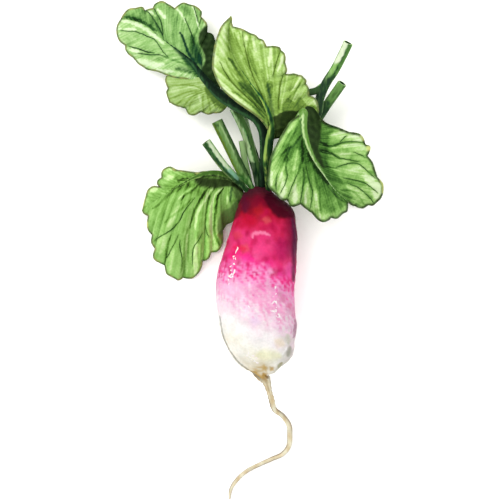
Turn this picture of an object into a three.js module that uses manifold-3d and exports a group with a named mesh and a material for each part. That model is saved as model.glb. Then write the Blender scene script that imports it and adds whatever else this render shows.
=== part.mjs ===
// A long two-tone radish with its leaves on, lying on its side: +Z is up, +Y runs from the root
// towards the leaves, +X is to the right, and the origin is on the flat of the belly it rests on.
// All sizes are in millimetres.

import * as THREE from "three";
import { mergeVertices } from "three/addons/utils/BufferGeometryUtils.js";
import Module from "manifold-3d";

const manifold = await Module();
manifold.setup();

// ---------------------------------------------------------------- driving dimensions

const ROOT_RADIUS = 10.94;
const ROOT_AXIS_HEIGHT = 10.53;
const CROWN_X = 0.95;
const CROWN_Y = 26.2;
const FOOT_RADIUS = 0.66;
const FOOT_PITCH = 1.75;
const FOOT_LENGTH = 8;
const FOOT_DEPTH = 0.8;
const CROWN_CLEARANCE = 5;
const STALK_GAP = 0.3;
const BLADE_THICKNESS = 0.5;
const MARGIN_THICKNESS = 0.3;
const RIB_TIP_RADIUS = 0.42;

const SMALLEST_DETAIL = 0.03;

const ROOT_SIDES = 20;
const ROOT_STEPS = 46;
const STALK_SIDES = 8;
const STEPS_PER_STATION = 2;
const BLADE_ROWS = 3;
const MARGIN_STEP = 1.7;
const STEPS_PER_TOOTH = 3;

// The root's stations from crown to tip: x, y, height of the centre, radius. The swollen part is
// level; the taproot sinks to the surface and wanders along it, from station TAPROOT_FROM on.
const TAPROOT_FROM = 13;
const ROOT_STATIONS = [
  [CROWN_X, CROWN_Y, ROOT_AXIS_HEIGHT, 3.3],
  [1.1, 25.1, ROOT_AXIS_HEIGHT, 4.2],
  [1.6, 24.0, ROOT_AXIS_HEIGHT, 5.3],
  [2.1, 22.9, ROOT_AXIS_HEIGHT, 6.3],
  [2.7, 21.2, ROOT_AXIS_HEIGHT, 7.5],
  [2.9, 18.8, ROOT_AXIS_HEIGHT, 8.38],
  [2.3, 13.5, ROOT_AXIS_HEIGHT, 9.38],
  [1.1, 6.9, ROOT_AXIS_HEIGHT, 10.38],
  [0.3, 1.3, ROOT_AXIS_HEIGHT, ROOT_RADIUS],
  [0.1, -3.1, ROOT_AXIS_HEIGHT, 10.78],
  [0.5, -8.1, ROOT_AXIS_HEIGHT, 10.83],
  [1.0, -11.7, ROOT_AXIS_HEIGHT, 10.68],
  [1.3, -15.6, ROOT_AXIS_HEIGHT, 9.88],
  [1.85, -19.2, ROOT_AXIS_HEIGHT, 8.73],
  [2.0, -21.7, 10.5, 6.9],
  [2.2, -23.6, 10.4, 4.4],
  [2.25, -25.2, 10.1, 2.15],
  [3.2, -26.9, 9.6, 1.25],
  [4.0, -29.7, 8.2, 0.75],
  [4.75, -32.2, 6.6, 0.8],
  [5.6, -35.0, 4.6, 0.72],
  [7.8, -36.9, 3.2, 0.7],
  [9.5, -39.4, 2.0, 0.7],
  [9.8, -42.0, 1.2, 0.7],
  [9.6, -45.4, 0.7, 0.66],
  [7.75, -47.75, 0.62, 0.62],
  [4.6, -49.1, 0.6, 0.58],
  [-0.5, -51.4, 0.54, 0.52],
  [-3.3, -53.2, 0.52, 0.5],
  [-5.5, -55.6, 0.5, 0.5],
  [-6.7, -57.8, 0.42, 0.42],
  [-7.0, -60.2, 0.3, 0.25],
];

// Where a stalk starts, a little inside the crown: in rows from the top, in places across the row.
function foot(row, place) {
  const height = ROOT_AXIS_HEIGHT + FOOT_PITCH * 0.87 * (1 - row);
  return [CROWN_X + FOOT_PITCH * place, CROWN_Y - FOOT_DEPTH, height];
}

// ---------------------------------------------------------------- leaves
//
// rib: the middle line of a leaf, from the foot of its stalk on the crown to the tip of the blade.
// stalkRadius: near the crown and at the foot of the blade. Each half of a blade hangs on the rib
// between the rib points `from` and `to`, and reaches out to its margin. margin: one curve for
// each tooth; all but the first start where the one before them ends. ripple: how far the blade
// puffs up between its side veins. crown: how far the half arches above a flat sheet. fan: above
// 1, the side veins crowd together near the stalk.

const LEAVES = {
  leaf_upper_left: {
    stalkRadius: [1.25, 1.9],
    rib: [
      foot(0, 0.5), [2.6, 35.6, 13.0], [2.8, 39.4, 13.3], [2.5, 42.8, 13.4], [0.85, 45.85, 13.5],
      [-2.25, 47.95, 13.4], [-6.15, 50.05, 12.8], [-9.95, 52.55, 11.6], [-14.2, 57.3, 9.6],
      [-16.9, 61.0, 8.4], [-20.9, 64.6, 7.0], [-25.6, 68.2, 5.8], [-31.1, 72.5, 3.8],
      [-37.3, 74.2, 1.4],
    ],
    halves: [
      {
        from: 7.9, to: 13, ripple: 0.3, crown: 1.0, fan: 1.5,
        margin: [
          [[-15.2, 55.4, 8.2], [-18.9, 56.9, 7.0], [-22.2, 57.4, 5.6], [-24.6, 58.2, 4.6]],
          [[-27.1, 59.2, 3.8], [-30.0, 59.8, 3.0], [-31.2, 60.7, 2.8]],
          [[-32.3, 61.3, 2.4], [-33.1, 62.1, 2.0], [-33.9, 63.2, 2.0]],
          [[-35.3, 64.2, 1.4], [-36.1, 65.4, 1.0], [-36.2, 66.7, 1.0]],
          [[-37.8, 67.9, 0.5], [-38.6, 70.0, 0.3], [-38.5, 72.2, 0.6], [-37.3, 74.2, 1.4]],
        ],
      },
      {
        from: 7.3, to: 13, ripple: 0.3, crown: 0.8, fan: 1.5,
        margin: [
          [[-9.8, 53.6, 10.6], [-8.8, 58.0, 9.6], [-9.2, 63.0, 9.0], [-11.1, 68.1, 8.4]],
          [[-11.7, 69.4, 8.2], [-13.2, 70.0, 7.8]],
          [[-13.3, 72.4, 7.6], [-14.9, 74.4, 7.0]],
          [
            [-14.8, 75.9, 6.8], [-16.4, 77.3, 6.4], [-18.2, 77.8, 6.2], [-20.1, 78.3, 6.0],
            [-22.3, 76.8, 5.6],
          ],
          [[-23.8, 77.8, 5.4], [-25.8, 78.8, 5.0], [-27.7, 78.1, 4.6], [-28.4, 76.9, 4.4]],
          [[-29.3, 76.7, 4.2], [-30.5, 76.3, 4.0]],
          [
            [-31.4, 77.3, 3.6], [-33.3, 77.0, 3.2], [-35.3, 76.7, 2.6], [-36.9, 75.0, 1.8],
            [-37.3, 74.2, 1.4],
          ],
        ],
      },
      {
        from: 6.0, to: 8.0, ripple: 0.3, crown: 0.6, fan: 1,
        margin: [
          [[-8.2, 48.5, 10.6], [-9.6, 47.5, 9.6], [-11.5, 47.4, 8.6]],
          [[-13.0, 47.1, 7.8], [-15.1, 47.9, 6.8]],
          [[-16.6, 47.0, 6.0], [-18.3, 47.2, 5.4], [-19.3, 48.9, 5.2]],
          [[-21.8, 49.6, 4.4], [-23.8, 50.6, 4.0]],
          [[-24.6, 53.2, 3.6], [-24.2, 54.5, 3.8]],
          [[-24.9, 56.6, 4.0], [-24.7, 58.0, 4.4]],
        ],
      },
    ],
  },
  leaf_top: {
    stalkRadius: [1.2, 1.2],
    rib: [
      foot(0, 1.5), [3.6, 30.0, 14.2], [3.4, 34.1, 16.2], [3.9, 39.1, 16.6], [4.5, 42.2, 16.8],
      [4.1, 45.9, 16.9], [2.1, 50.6, 16.9], [-1.5, 55.6, 16.8], [-4.3, 60.0, 16.5],
      [-6.4, 64.4, 16.0], [-7.3, 68.9, 15.2], [-6.6, 74.0, 13.8],
    ],
    halves: [
      {
        from: 3.4, to: 11, ripple: 0.1, crown: 1.2, fan: 1.2,
        margin: [
          [
            [3.9, 40.7, 17.0], [3.5, 42.7, 17.4], [1.0, 45.8, 18.2], [-3.2, 48.8, 19.4],
            [-5.5, 50.4, 20.0], [-9.3, 53.9, 20.7], [-11.3, 58.1, 20.8], [-11.7, 60.4, 20.8],
            [-11.1, 65.4, 20.0], [-9.75, 69.8, 18.0], [-8.7, 71.8, 16.4], [-6.6, 74.0, 13.8],
          ],
        ],
      },
      {
        from: 3.4, to: 11, ripple: 0.3, crown: 1.4, fan: 1.6,
        margin: [
          [
            [4.8, 40.0, 16.2], [8.5, 40.8, 14.8], [13.5, 43.2, 13.6], [17.3, 46.5, 13.2],
            [17.6, 49.2, 13.4], [16.8, 51.3, 13.6], [15.0, 52.2, 13.9],
          ],
          [[14.9, 54.2, 14.2], [14.1, 55.4, 14.4]],
          [[14.2, 56.3, 14.5], [12.9, 57.6, 14.8], [12.3, 57.7, 14.9]],
          [[10.9, 58.1, 15.2], [9.6, 57.9, 15.5], [8.6, 58.0, 15.7]],
          [[8.9, 59.2, 15.9], [8.4, 61.2, 16.2]],
          [[8.5, 62.5, 16.3], [8.2, 63.6, 16.4], [7.4, 64.4, 16.6]],
          [[6.8, 65.3, 16.7], [5.3, 65.6, 16.8], [3.3, 65.5, 16.9]],
          [[2.7, 66.8, 17.0], [2.3, 67.3, 17.0], [1.2, 67.7, 17.0]],
          [[0.3, 68.6, 17.0], [-1.1, 69.1, 16.8]],
          [[-3.4, 70.3, 16.2], [-6.0, 71.1, 15.2]],
          [[-6.3, 72.3, 14.6], [-6.2, 73.4, 14.1], [-6.6, 74.0, 13.8]],
        ],
      },
    ],
  },
  leaf_right: {
    stalkRadius: [1.2, 1.2],
    rib: [
      foot(1, 1), [6.6, 33.0, 12.6], [9.4, 40.0, 16.4], [11.9, 45.0, 20.4],
      [13.3, 47.0, 23.4], [13.3, 45.4, 25.4], [13.5, 41.6, 26.0], [14.7, 37.6, 25.4],
      [16.4, 33.9, 23.6], [18.8, 30.3, 20.4], [21.4, 26.8, 15.4], [24.1, 24.2, 9.4],
      [26.0, 22.8, 4.6],
    ],
    halves: [
      {
        from: 4.4, to: 12, ripple: 0.3, crown: 1.6, fan: 1.5,
        margin: [
          [
            [13.2, 47.0, 23.8], [10.3, 45.1, 23.0], [8.9, 43.5, 22.6], [6.5, 39.4, 21.6],
            [4.6, 35.6, 20.6], [3.9, 32.9, 19.8], [3.6, 28.6, 18.6], [3.9, 26.7, 18.2],
            [5.8, 24.9, 17.6],
          ],
          [[6.9, 23.7, 17.2], [7.9, 23.1, 16.8], [9.0, 23.2, 16.4]],
          [[9.8, 21.6, 15.8], [11.1, 21.5, 15.2], [12.6, 22.1, 14.4]],
          [[14.2, 20.8, 13.4], [15.9, 19.6, 12.4]],
          [[17.4, 17.9, 11.2], [19.0, 17.2, 10.0], [20.5, 17.7, 9.0], [21.2, 18.4, 8.6]],
          [[22.9, 18.2, 7.6], [24.6, 19.6, 6.0], [25.8, 20.3, 5.0], [26.0, 22.7, 4.6]],
        ],
      },
      {
        from: 4.4, to: 12, ripple: 0.3, crown: -2.4, fan: 1.5,
        margin: [
          [
            [13.5, 47.6, 23.4], [14.3, 48.8, 22.2], [16.2, 48.3, 20.6], [18.1, 45.9, 18.8],
            [19.9, 44.3, 17.2], [23.0, 43.2, 15.6], [26.2, 42.0, 14.0],
          ],
          [[28.1, 41.8, 13.4], [29.2, 41.4, 12.8], [30.1, 40.4, 12.4], [30.7, 38.7, 12.0]],
          [[31.9, 38.2, 11.4], [32.0, 37.2, 11.2], [31.3, 35.5, 11.0]],
          [[32.6, 33.9, 10.0], [33.7, 31.0, 8.6], [34.1, 29.8, 8.0]],
          [
            [35.6, 28.1, 6.4], [35.9, 26.9, 5.4], [35.8, 25.2, 3.8], [35.2, 23.8, 2.6],
            [34.3, 22.9, 2.0], [33.1, 21.9, 1.4], [31.9, 22.0, 1.0],
          ],
          [[30.4, 21.1, 0.6], [29.0, 21.3, 0.8], [28.1, 21.9, 1.2]],
          [[27.5, 21.8, 1.6], [26.0, 22.8, 4.0]],
        ],
      },
    ],
  },
  leaf_lower_left: {
    stalkRadius: [1.1, 1.1],
    rib: [
      foot(2, -1.5), [-4.9, 28.4, 10.0], [-8.2, 30.0, 11.8], [-12.1, 30.6, 13.4],
      [-15.7, 29.8, 13.8], [-19.3, 28.1, 13.0], [-23.2, 25.7, 10.6], [-27.3, 23.4, 6.0],
      [-31.4, 20.5, 1.2],
    ],
    halves: [
      {
        from: 1.1, to: 8, ripple: 0.4, crown: 2.4, fan: 1.9,
        margin: [
          [
            [-3.5, 26.9, 8.8], [-2.9, 24.3, 5.8], [-4.2, 20.8, 3.8], [-5.4, 18.4, 2.4],
            [-6.4, 17.2, 1.8], [-7.8, 16.6, 1.4], [-8.8, 15.1, 1.1], [-10.1, 13.8, 0.9],
          ],
          [
            [-9.2, 12.8, 0.8], [-8.9, 11.8, 0.8], [-9.5, 10.1, 0.7], [-10.6, 9.0, 0.7],
            [-12.1, 8.85, 0.7],
          ],
          [[-12.8, 7.2, 0.6], [-13.7, 6.5, 0.6], [-14.6, 6.5, 0.5]],
          [
            [-14.8, 4.9, 0.4], [-15.7, 3.1, 0.4], [-17.3, 1.6, 0.3], [-19.0, 1.5, 0.3],
            [-20.0, 1.7, 0.3],
          ],
          [
            [-21.3, 0.95, 0.3], [-22.6, 1.6, 0.3], [-23.9, 2.3, 0.3], [-24.7, 2.9, 0.3],
            [-25.2, 5.2, 0.3],
          ],
          [[-26.5, 5.8, 0.3], [-28.0, 6.7, 0.3], [-28.4, 8.0, 0.3], [-27.9, 9.8, 0.3]],
          [[-28.9, 11.6, 0.3], [-28.7, 13.7, 0.3]],
          [[-29.8, 15.0, 0.3], [-30.1, 16.8, 0.4], [-29.8, 19.0, 0.6]],
          [[-31.1, 19.7, 0.9], [-31.4, 20.5, 1.2]],
        ],
      },
      {
        from: 2.4, to: 8, ripple: 0.3, crown: 0.8, fan: 1.3,
        margin: [
          [
            [-10.4, 31.2, 12.0], [-14.0, 31.2, 12.4], [-16.2, 30.9, 12.0], [-20.3, 31.5, 10.2],
            [-22.1, 31.7, 9.0],
          ],
          [[-23.5, 32.6, 8.2], [-25.2, 32.0, 7.0], [-25.9, 30.9, 6.4], [-25.9, 29.7, 6.0]],
          [[-27.0, 28.8, 5.2], [-27.1, 27.8, 4.8], [-26.6, 27.1, 4.8]],
          [
            [-28.4, 27.2, 3.8], [-29.8, 26.2, 2.8], [-30.4, 24.5, 2.0], [-31.0, 22.5, 1.4],
            [-31.4, 20.5, 1.2],
          ],
        ],
      },
    ],
  },
};

// ---------------------------------------------------------------- cut stalks
//
// path: from the foot on the crown to the cut end. side: a short side branch that left the stalk.

const CUT_STALKS = {
  cut_stalk_left_low: {
    radius: 1.15, endRadius: 1.3,
    path: [foot(0, -1.5), [-3.9, 28.0, 12.9], [-8.65, 32.8, 14.4], [-13.4, 39.3, 15.4]],
  },
  cut_stalk_left_high: {
    radius: 1.45, endRadius: 1.55,
    path: [foot(0, -0.5), [-3.9, 31.9, 14.4], [-6.8, 37.8, 15.4], [-10.35, 45.0, 16.0]],
  },
  young_stalk: {
    radius: 1.0, endRadius: 0.8,
    path: [foot(1, -1), [-2.0, 30.5, 10.8], [-2.8, 34.3, 11.2], [-3.7, 39.6, 12.0]],
  },
  stalk_behind_left: {
    radius: 1.4, endRadius: 1.3,
    path: [
      foot(1, 0), [0.4, 31.5, 10.2], [-0.8, 35.7, 9.9], [-2.1, 40.6, 9.5], [-3.8, 44.8, 9.2],
      [-5.8, 48.7, 8.6],
    ],
  },
  stalk_behind_right: {
    radius: 0.7, endRadius: 0.6,
    path: [
      foot(2, 0.5), [0.9, 34.0, 7.4], [-0.75, 39.4, 6.9], [-2.15, 44.8, 6.6], [-2.7, 48.1, 6.4],
    ],
  },
  cut_stalk_right_long: {
    radius: 1.12, endRadius: 1.4,
    path: [
      foot(2, 1.5), [8.6, 33.0, 7.0], [14.2, 42.0, 7.2], [17.4, 47.5, 7.8], [18.0, 51.5, 8.3],
      [19.65, 55.6, 9.2], [22.1, 59.4, 10.2], [24.3, 63.6, 11.4], [25.8, 66.8, 12.45],
    ],
    side: [[19.0, 54.8, 9.0], [17.2, 53.6, 8.8], [15.0, 53.1, 8.9]],
  },
  cut_stalk_right_short: {
    radius: 1.15, endRadius: 1.3,
    path: [
      foot(3, 0.5), [7.2, 33.0, 4.6], [13.8, 40.6, 4.2], [18.3, 47.0, 5.0], [20.2, 50.0, 6.0],
      [21.9, 52.4, 7.2], [24.3, 55.8, 8.6],
    ],
  },
};

// ---------------------------------------------------------------- tools

function vector([x, y, z]) {
  return new THREE.Vector3(x, y, z);
}

function spline(points) {
  return new THREE.CatmullRomCurve3(points.map(vector), false, "catmullrom", 0.5);
}

// A closed three.js geometry, with every vertex moved by `place`, as a solid.
function moulded(geometry, place) {
  const position = geometry.getAttribute("position");
  for (let i = 0; i < position.count; i++) {
    const p = place(position.getX(i), position.getY(i), position.getZ(i));
    position.setXYZ(i, p.x, p.y, p.z);
  }
  geometry.deleteAttribute("normal");
  geometry.deleteAttribute("uv");
  const merged = mergeVertices(geometry, 1e-4);
  const solid = new manifold.Manifold(
    new manifold.Mesh({
      numProp: 3,
      vertProperties: merged.getAttribute("position").array,
      triVerts: new Uint32Array(merged.index.array),
    }),
  );
  return solid;
}

// A closed rod along a curve. Its radius is given by the share of the way along the curve, and so
// is the direction that its sections face, which is the curve's own unless stated. The sections
// turn as little as possible from one to the next.
function rod(curve, radiusAt, sides, steps, directionAt = (share) => curve.getTangent(share)) {
  const top = new THREE.Vector3(0, 0, 1);
  const sections = [];
  let before = directionAt(0);
  for (let i = 0; i <= steps; i++) {
    const direction = directionAt(i / steps);
    top.applyQuaternion(new THREE.Quaternion().setFromUnitVectors(before, direction));
    top.addScaledVector(direction, -top.dot(direction)).normalize();
    const side = new THREE.Vector3().crossVectors(top, direction);
    sections.push({ at: curve.getPoint(i / steps), top: top.clone(), side });
    before = direction;
  }
  const cylinder = new THREE.CylinderGeometry(1, 1, 1, sides, steps);
  // Turned by half a side, so that a flat of each section faces down.
  cylinder.rotateY(Math.PI / sides);
  return moulded(cylinder, (x, y, z) => {
    const share = 0.5 - y;
    const { at, top, side } = sections[Math.round(share * steps)];
    const radius = radiusAt(share);
    const p = at.clone().addScaledVector(side, x * radius).addScaledVector(top, z * radius);
    p.z = Math.max(p.z, 0);
    return p;
  });
}

// A stalk is narrow at its foot, where it squeezes in beside its neighbours.
function swollen(radius, distance) {
  const swell = THREE.MathUtils.smoothstep(distance, 0, FOOT_LENGTH);
  return THREE.MathUtils.lerp(FOOT_RADIUS, radius, swell);
}

// ---------------------------------------------------------------- root

function rootSolid() {
  const centre = spline(ROOT_STATIONS.map(([x, y, z]) => [x, y, z]));
  const radius = spline(ROOT_STATIONS.map((station) => [station[3], 0, 0]));
  const last = ROOT_STATIONS.length - 1;
  // The sections of the swollen part all face along Y, those of the taproot along its own run.
  const directionAt = (share) => {
    const bent = THREE.MathUtils.smoothstep(share * last, TAPROOT_FROM, TAPROOT_FROM + 4);
    return new THREE.Vector3(0, -1, 0).lerp(centre.getTangent(share), bent).normalize();
  };
  return rod(centre, (share) => radius.getPoint(share).x, ROOT_SIDES, ROOT_STEPS, directionAt);
}

// ---------------------------------------------------------------- leaves

// The margin of a half blade in even steps: each one's place, its share of the way along, and how
// far up its tooth it is, from 0 at the cuts between two teeth to 1 halfway.
function marginSteps(half) {
  const teeth = [];
  let last = [];
  for (const further of half.margin) {
    const points = [...last, ...further];
    teeth.push(spline(points));
    last = [points.at(-1)];
  }
  const lengths = teeth.map((tooth) => tooth.getLength());
  const whole = lengths.reduce((sum, length) => sum + length, 0);
  const steps = [];
  let before = 0;
  for (const [i, tooth] of teeth.entries()) {
    const count = Math.max(STEPS_PER_TOOTH, Math.round(lengths[i] / MARGIN_STEP));
    for (let k = i === 0 ? 0 : 1; k <= count; k++) {
      const share = k / count;
      const hill = Math.sin(Math.PI * share);
      steps.push({ point: tooth.getPointAt(share), along: (before + share * lengths[i]) / whole, hill });
    }
    before += lengths[i];
  }
  return steps;
}

// The point of a half blade at the share `out` from the rib to one step of its margin.
function bladePoint(half, rib, { point, along, hill }, out) {
  const onRib = THREE.MathUtils.lerp(half.from, half.to, along ** half.fan) / (rib.points.length - 1);
  const p = rib.getPoint(onRib).lerp(point, out);
  const ends = Math.min(1, 8 * along, 8 * (1 - along));
  p.z += half.crown * 4 * out * (1 - out) * ends;
  p.z += half.ripple * (2 * hill - 1) * out * ends;
  p.z = Math.max(p.z, BLADE_THICKNESS / 2);
  return p;
}

function bladeSolid(half, rib) {
  const steps = marginSteps(half);
  const columns = steps.length - 1;
  const bit = 0.01;
  const box = new THREE.BoxGeometry(1, 1, 1, BLADE_ROWS, columns, 1);
  return moulded(box, (x, y, z) => {
    const out = x + 0.5;
    const column = Math.round((y + 0.5) * columns);
    const inner = Math.min(out, 1 - bit);
    const before = steps[Math.max(column - 1, 0)];
    const after = steps[Math.min(column + 1, columns)];
    const at = bladePoint(half, rib, steps[column], out);
    const across = bladePoint(half, rib, steps[column], inner + bit);
    across.sub(bladePoint(half, rib, steps[column], inner));
    const forward = bladePoint(half, rib, after, out).sub(bladePoint(half, rib, before, out));
    const normal = across.cross(forward).normalize();
    const thickness = THREE.MathUtils.lerp(BLADE_THICKNESS, MARGIN_THICKNESS, out);
    return at.addScaledVector(normal, z * thickness);
  });
}

function leafSolid({ rib: points, stalkRadius, halves }) {
  const rib = spline(points);
  const bladeFoot = Math.min(...halves.map((half) => half.from)) / (points.length - 1);
  const length = rib.getLength();
  const radiusAt = (share) => {
    const distance = share * length;
    const widening = THREE.MathUtils.smoothstep(distance, FOOT_LENGTH, 2.5 * FOOT_LENGTH);
    const full = THREE.MathUtils.lerp(...stalkRadius, widening);
    const taper = THREE.MathUtils.clamp((share - bladeFoot) / (1 - bladeFoot), 0, 1);
    return THREE.MathUtils.lerp(swollen(full, distance), RIB_TIP_RADIUS, taper);
  };
  const steps = (points.length - 1) * STEPS_PER_STATION;
  let solid = rod(rib, radiusAt, STALK_SIDES, steps);
  for (const half of halves) {
    solid = solid.add(bladeSolid(half, rib));
  }
  return solid.simplify(SMALLEST_DETAIL);
}

// ---------------------------------------------------------------- cut stalks

function cutStalkSolid({ path, radius, endRadius, side }) {
  const curve = spline(path);
  const length = curve.getLength();
  const radiusAt = (share) => {
    const full = THREE.MathUtils.lerp(radius, endRadius, share);
    return swollen(full, share * length);
  };
  let solid = rod(curve, radiusAt, STALK_SIDES, (path.length - 1) * STEPS_PER_STATION);
  if (side) {
    solid = solid.add(rod(spline(side), () => radius * 0.9, STALK_SIDES, 4));
  }
  return solid;
}

// ---------------------------------------------------------------- assembly

const ROOT_SKIN = new THREE.MeshStandardMaterial({ color: 0xd8145f, roughness: 0.38 });
const LEAF_GREEN = new THREE.MeshStandardMaterial({ color: 0x6fa63c, roughness: 0.55 });
const STALK_GREEN = new THREE.MeshStandardMaterial({ color: 0x4f8a3a, roughness: 0.45 });

function named(name, solid, material) {
  const mesh = solid.getMesh();
  const geometry = new THREE.BufferGeometry();
  geometry.setAttribute("position", new THREE.BufferAttribute(mesh.vertProperties, 3));
  geometry.setIndex(new THREE.BufferAttribute(mesh.triVerts, 1));
  const made = new THREE.Mesh(geometry, material);
  made.name = name;
  return made;
}

// The feet of the stalks are cut off just clear of the crown.
function clearOfCrown(solid) {
  const block = new THREE.CylinderGeometry(CROWN_CLEARANCE, CROWN_CLEARANCE, 2, STALK_SIDES);
  const crown = moulded(block, (x, y, z) => {
    const far = CROWN_Y + STALK_GAP;
    return vector([CROWN_X + x, far + y - 1, ROOT_AXIS_HEIGHT + z]);
  });
  return solid.subtract(crown);
}

const radish = new THREE.Group();
radish.add(named("root", rootSolid(), ROOT_SKIN));
for (const [name, leaf] of Object.entries(LEAVES)) {
  radish.add(named(name, clearOfCrown(leafSolid(leaf)), LEAF_GREEN));
}
for (const [name, stalk] of Object.entries(CUT_STALKS)) {
  radish.add(named(name, clearOfCrown(cutStalkSolid(stalk)), STALK_GREEN));
}

// The origin goes under the middle of the whole.
const whole = new THREE.Box3().setFromObject(radish);
const middle = whole.getCenter(new THREE.Vector3());
radish.position.set(-middle.x, -middle.y, -whole.min.z);

export default radish;
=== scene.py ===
"""A long two-tone radish with its leaves on, lying on its side: its looks, built round the frame.

+Z is up, +Y runs from the taproot towards the leaves and +X is to the right. Shapes are worked
out in millimetres, and every mesh is made in metres at its place in the frame.
"""

import math

import bpy
import numpy as np
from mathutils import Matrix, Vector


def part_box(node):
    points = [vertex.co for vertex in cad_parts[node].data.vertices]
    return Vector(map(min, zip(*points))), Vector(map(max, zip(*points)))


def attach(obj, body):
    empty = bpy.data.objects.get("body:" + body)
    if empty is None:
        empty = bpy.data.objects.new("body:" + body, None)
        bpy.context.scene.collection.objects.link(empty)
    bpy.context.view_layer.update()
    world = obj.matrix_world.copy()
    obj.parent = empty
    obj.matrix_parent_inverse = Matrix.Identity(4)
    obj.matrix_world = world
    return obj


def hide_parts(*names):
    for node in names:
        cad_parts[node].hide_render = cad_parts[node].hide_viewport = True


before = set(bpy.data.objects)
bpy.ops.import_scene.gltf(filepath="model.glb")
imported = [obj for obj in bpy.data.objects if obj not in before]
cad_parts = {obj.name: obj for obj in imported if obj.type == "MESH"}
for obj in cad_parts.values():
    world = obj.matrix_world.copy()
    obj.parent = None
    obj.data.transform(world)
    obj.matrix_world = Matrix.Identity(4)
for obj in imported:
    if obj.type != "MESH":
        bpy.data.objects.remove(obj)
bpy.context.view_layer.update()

bl_info = {
    "name": "Radish with Leaves",
    "version": (1, 0, 0),
    "blender": (4, 5, 0),
    "location": "3D View > Sidebar > Radish",
    "description": "Grows a picked radish with its leaves, cut stalks and taproot",
    "category": "Add Mesh",
}

MM = 0.001
BODY = "root"


# ------------------------------------------------------------------ design numbers, in mm

CROWN_X = 0.95
CROWN_Y = 26.2
ROOT_AXIS_HEIGHT = 10.53
CROWN = (CROWN_X, CROWN_Y, ROOT_AXIS_HEIGHT)
CROWN_DOME = 0.9
TIP_LENGTH = 0.2

# The stalks start packed side by side in the crown, in rows.
FOOT_RADIUS = 0.66
FOOT_PITCH = 1.75
FOOT_ROW_HEIGHT = 0.87 * FOOT_PITCH
FOOT_LENGTH = 8
FOOT_DEPTH = 0.8

# Paint on the blades and the skin is laid where it is seen from the eye, in mm.
EYE = (-1.29, 9.45)
EYE_HEIGHT = 1000

# How bright the stage's light makes a white surface. Where the root keeps that light off, a
# leaf's colour can be lifted by up to this much in red, green and blue.
LIGHT_LEVEL = 1.78
LIFT = (1.5, 1.75, 1.4)

# Relief of the blades: quilting that fans out with the side veins, finer quilting, and a furrow
# over each vein, which is as much darker as it is deep: painted shade in the furrow.
QUILT = 0.13
FINE_QUILT = 0.05
FURROW = 0.12
FURROW_WIDTH = 0.3
LOWEST_BLADE = 0.02

# How far the side veins slant, and how the rows of a blade crowd towards its margin. The fan of
# fine streaks: how much each mm round it and along it counts, and where it opens. Its grain is
# stretched by these factors round and along, in the relief and in the paint.
VEIN_SLANT = 0.1
ROW_CROWDING = 1.3
FAN_TURN = 0.7
FAN_REACH = 30
FAN_OPENS = (2, 12)
QUILT_GRAIN = (40, 2.5)
STREAK_GRAIN = (26, 0.8)

# The dark edge of a blade, and how strong and wide its yellow edge is, unless a leaf says so.
RIM_WIDTH = 0.62
YELLOW_RIM = 0.35
YELLOW_RIM_WIDTH = 0.5

# Points round a rod and a vein, and the distance between their rings. Points that a path gets
# between two of its own, and the distance between the points of a vein, which wavers a little.
ROD_SIDES = 48
ROD_STEP = 0.35
VEIN_SIDES = 8
VEIN_STEP = 0.3
PATH_POINTS = 40
VEIN_POINT_STEP = 0.4
VEIN_WAVER = 0.06

# The pale marks are pressed into the skin from this height. Their bosses stray a little, and are
# stretched between these two sets of factors.
MARK_HEIGHT = 1.9 * ROOT_AXIS_HEIGHT
MARK_STRAY = 0.05
BOSS_LEAST = (0.5, 0.5, 0.2)
BOSS_MOST = (2.6, 0.9, 0.3)

# The stage, in metres, and the width of the camera's sensor in millimetres.
LAMP_PLACE = (-0.36, 0.4, 0.62)
LAMP_SIZE = 0.35
SENSOR_WIDTH = 36

# How deep the pith has sunk in the stub of a side branch and in a rib, and the stub's strokes.
STUB_HOLLOW = 0.2
RIB_HOLLOW = 0.05
STUB_COATS = [("3c5c34", 0.9, 0, 1.5, 0.2, 1.1)]


def foot(row, place):
    """Where a stalk starts inside the crown: in rows from the top, in places across the row."""
    height = ROOT_AXIS_HEIGHT + FOOT_ROW_HEIGHT * (1 - row)
    return (CROWN_X + FOOT_PITCH * place, CROWN_Y - FOOT_DEPTH, height)


# The root's stations from crown to tip: x, y, height of the centre, radius. Between the two
# stations of these numbers its sections come to follow the bends of the taproot. It is
# measured against the frame with so many rings for each station, and sides.
TAPROOT_BENDS = (13, 17)
FRAME_RINGS = 8
FRAME_SIDES = 72
ROOT_STATIONS = [
    (0.95, 26.2, 10.53, 3.3), (1.1, 25.1, 10.53, 4.2), (1.6, 24, 10.53, 5.3),
    (2.1, 22.9, 10.53, 6.3), (2.7, 21.2, 10.53, 7.5), (2.9, 18.8, 10.53, 8.38),
    (2.3, 13.5, 10.53, 9.38), (1.1, 6.9, 10.53, 10.38), (0.3, 1.3, 10.53, 10.94),
    (0.1, -3.1, 10.53, 10.78), (0.5, -8.1, 10.53, 10.83), (1, -11.7, 10.53, 10.68),
    (1.3, -15.6, 10.53, 9.88), (1.85, -19.2, 10.53, 8.73), (2, -21.7, 10.5, 6.9),
    (2.2, -23.6, 10.4, 4.4), (2.25, -25.2, 10.1, 2.15), (3.2, -26.9, 9.6, 1.25),
    (4, -29.7, 8.2, 0.75), (4.75, -32.2, 6.6, 0.8), (5.6, -35, 4.6, 0.72), (7.8, -36.9, 3.2, 0.7),
    (9.5, -39.4, 2, 0.7), (9.8, -42, 1.2, 0.7), (9.6, -45.4, 0.7, 0.66),
    (7.75, -47.75, 0.62, 0.62), (4.6, -49.1, 0.6, 0.58), (-0.5, -51.4, 0.54, 0.52),
    (-3.3, -53.2, 0.52, 0.5), (-5.5, -55.6, 0.5, 0.5), (-6.7, -57.8, 0.42, 0.42),
    (-7, -60.2, 0.3, 0.25),
]
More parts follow.
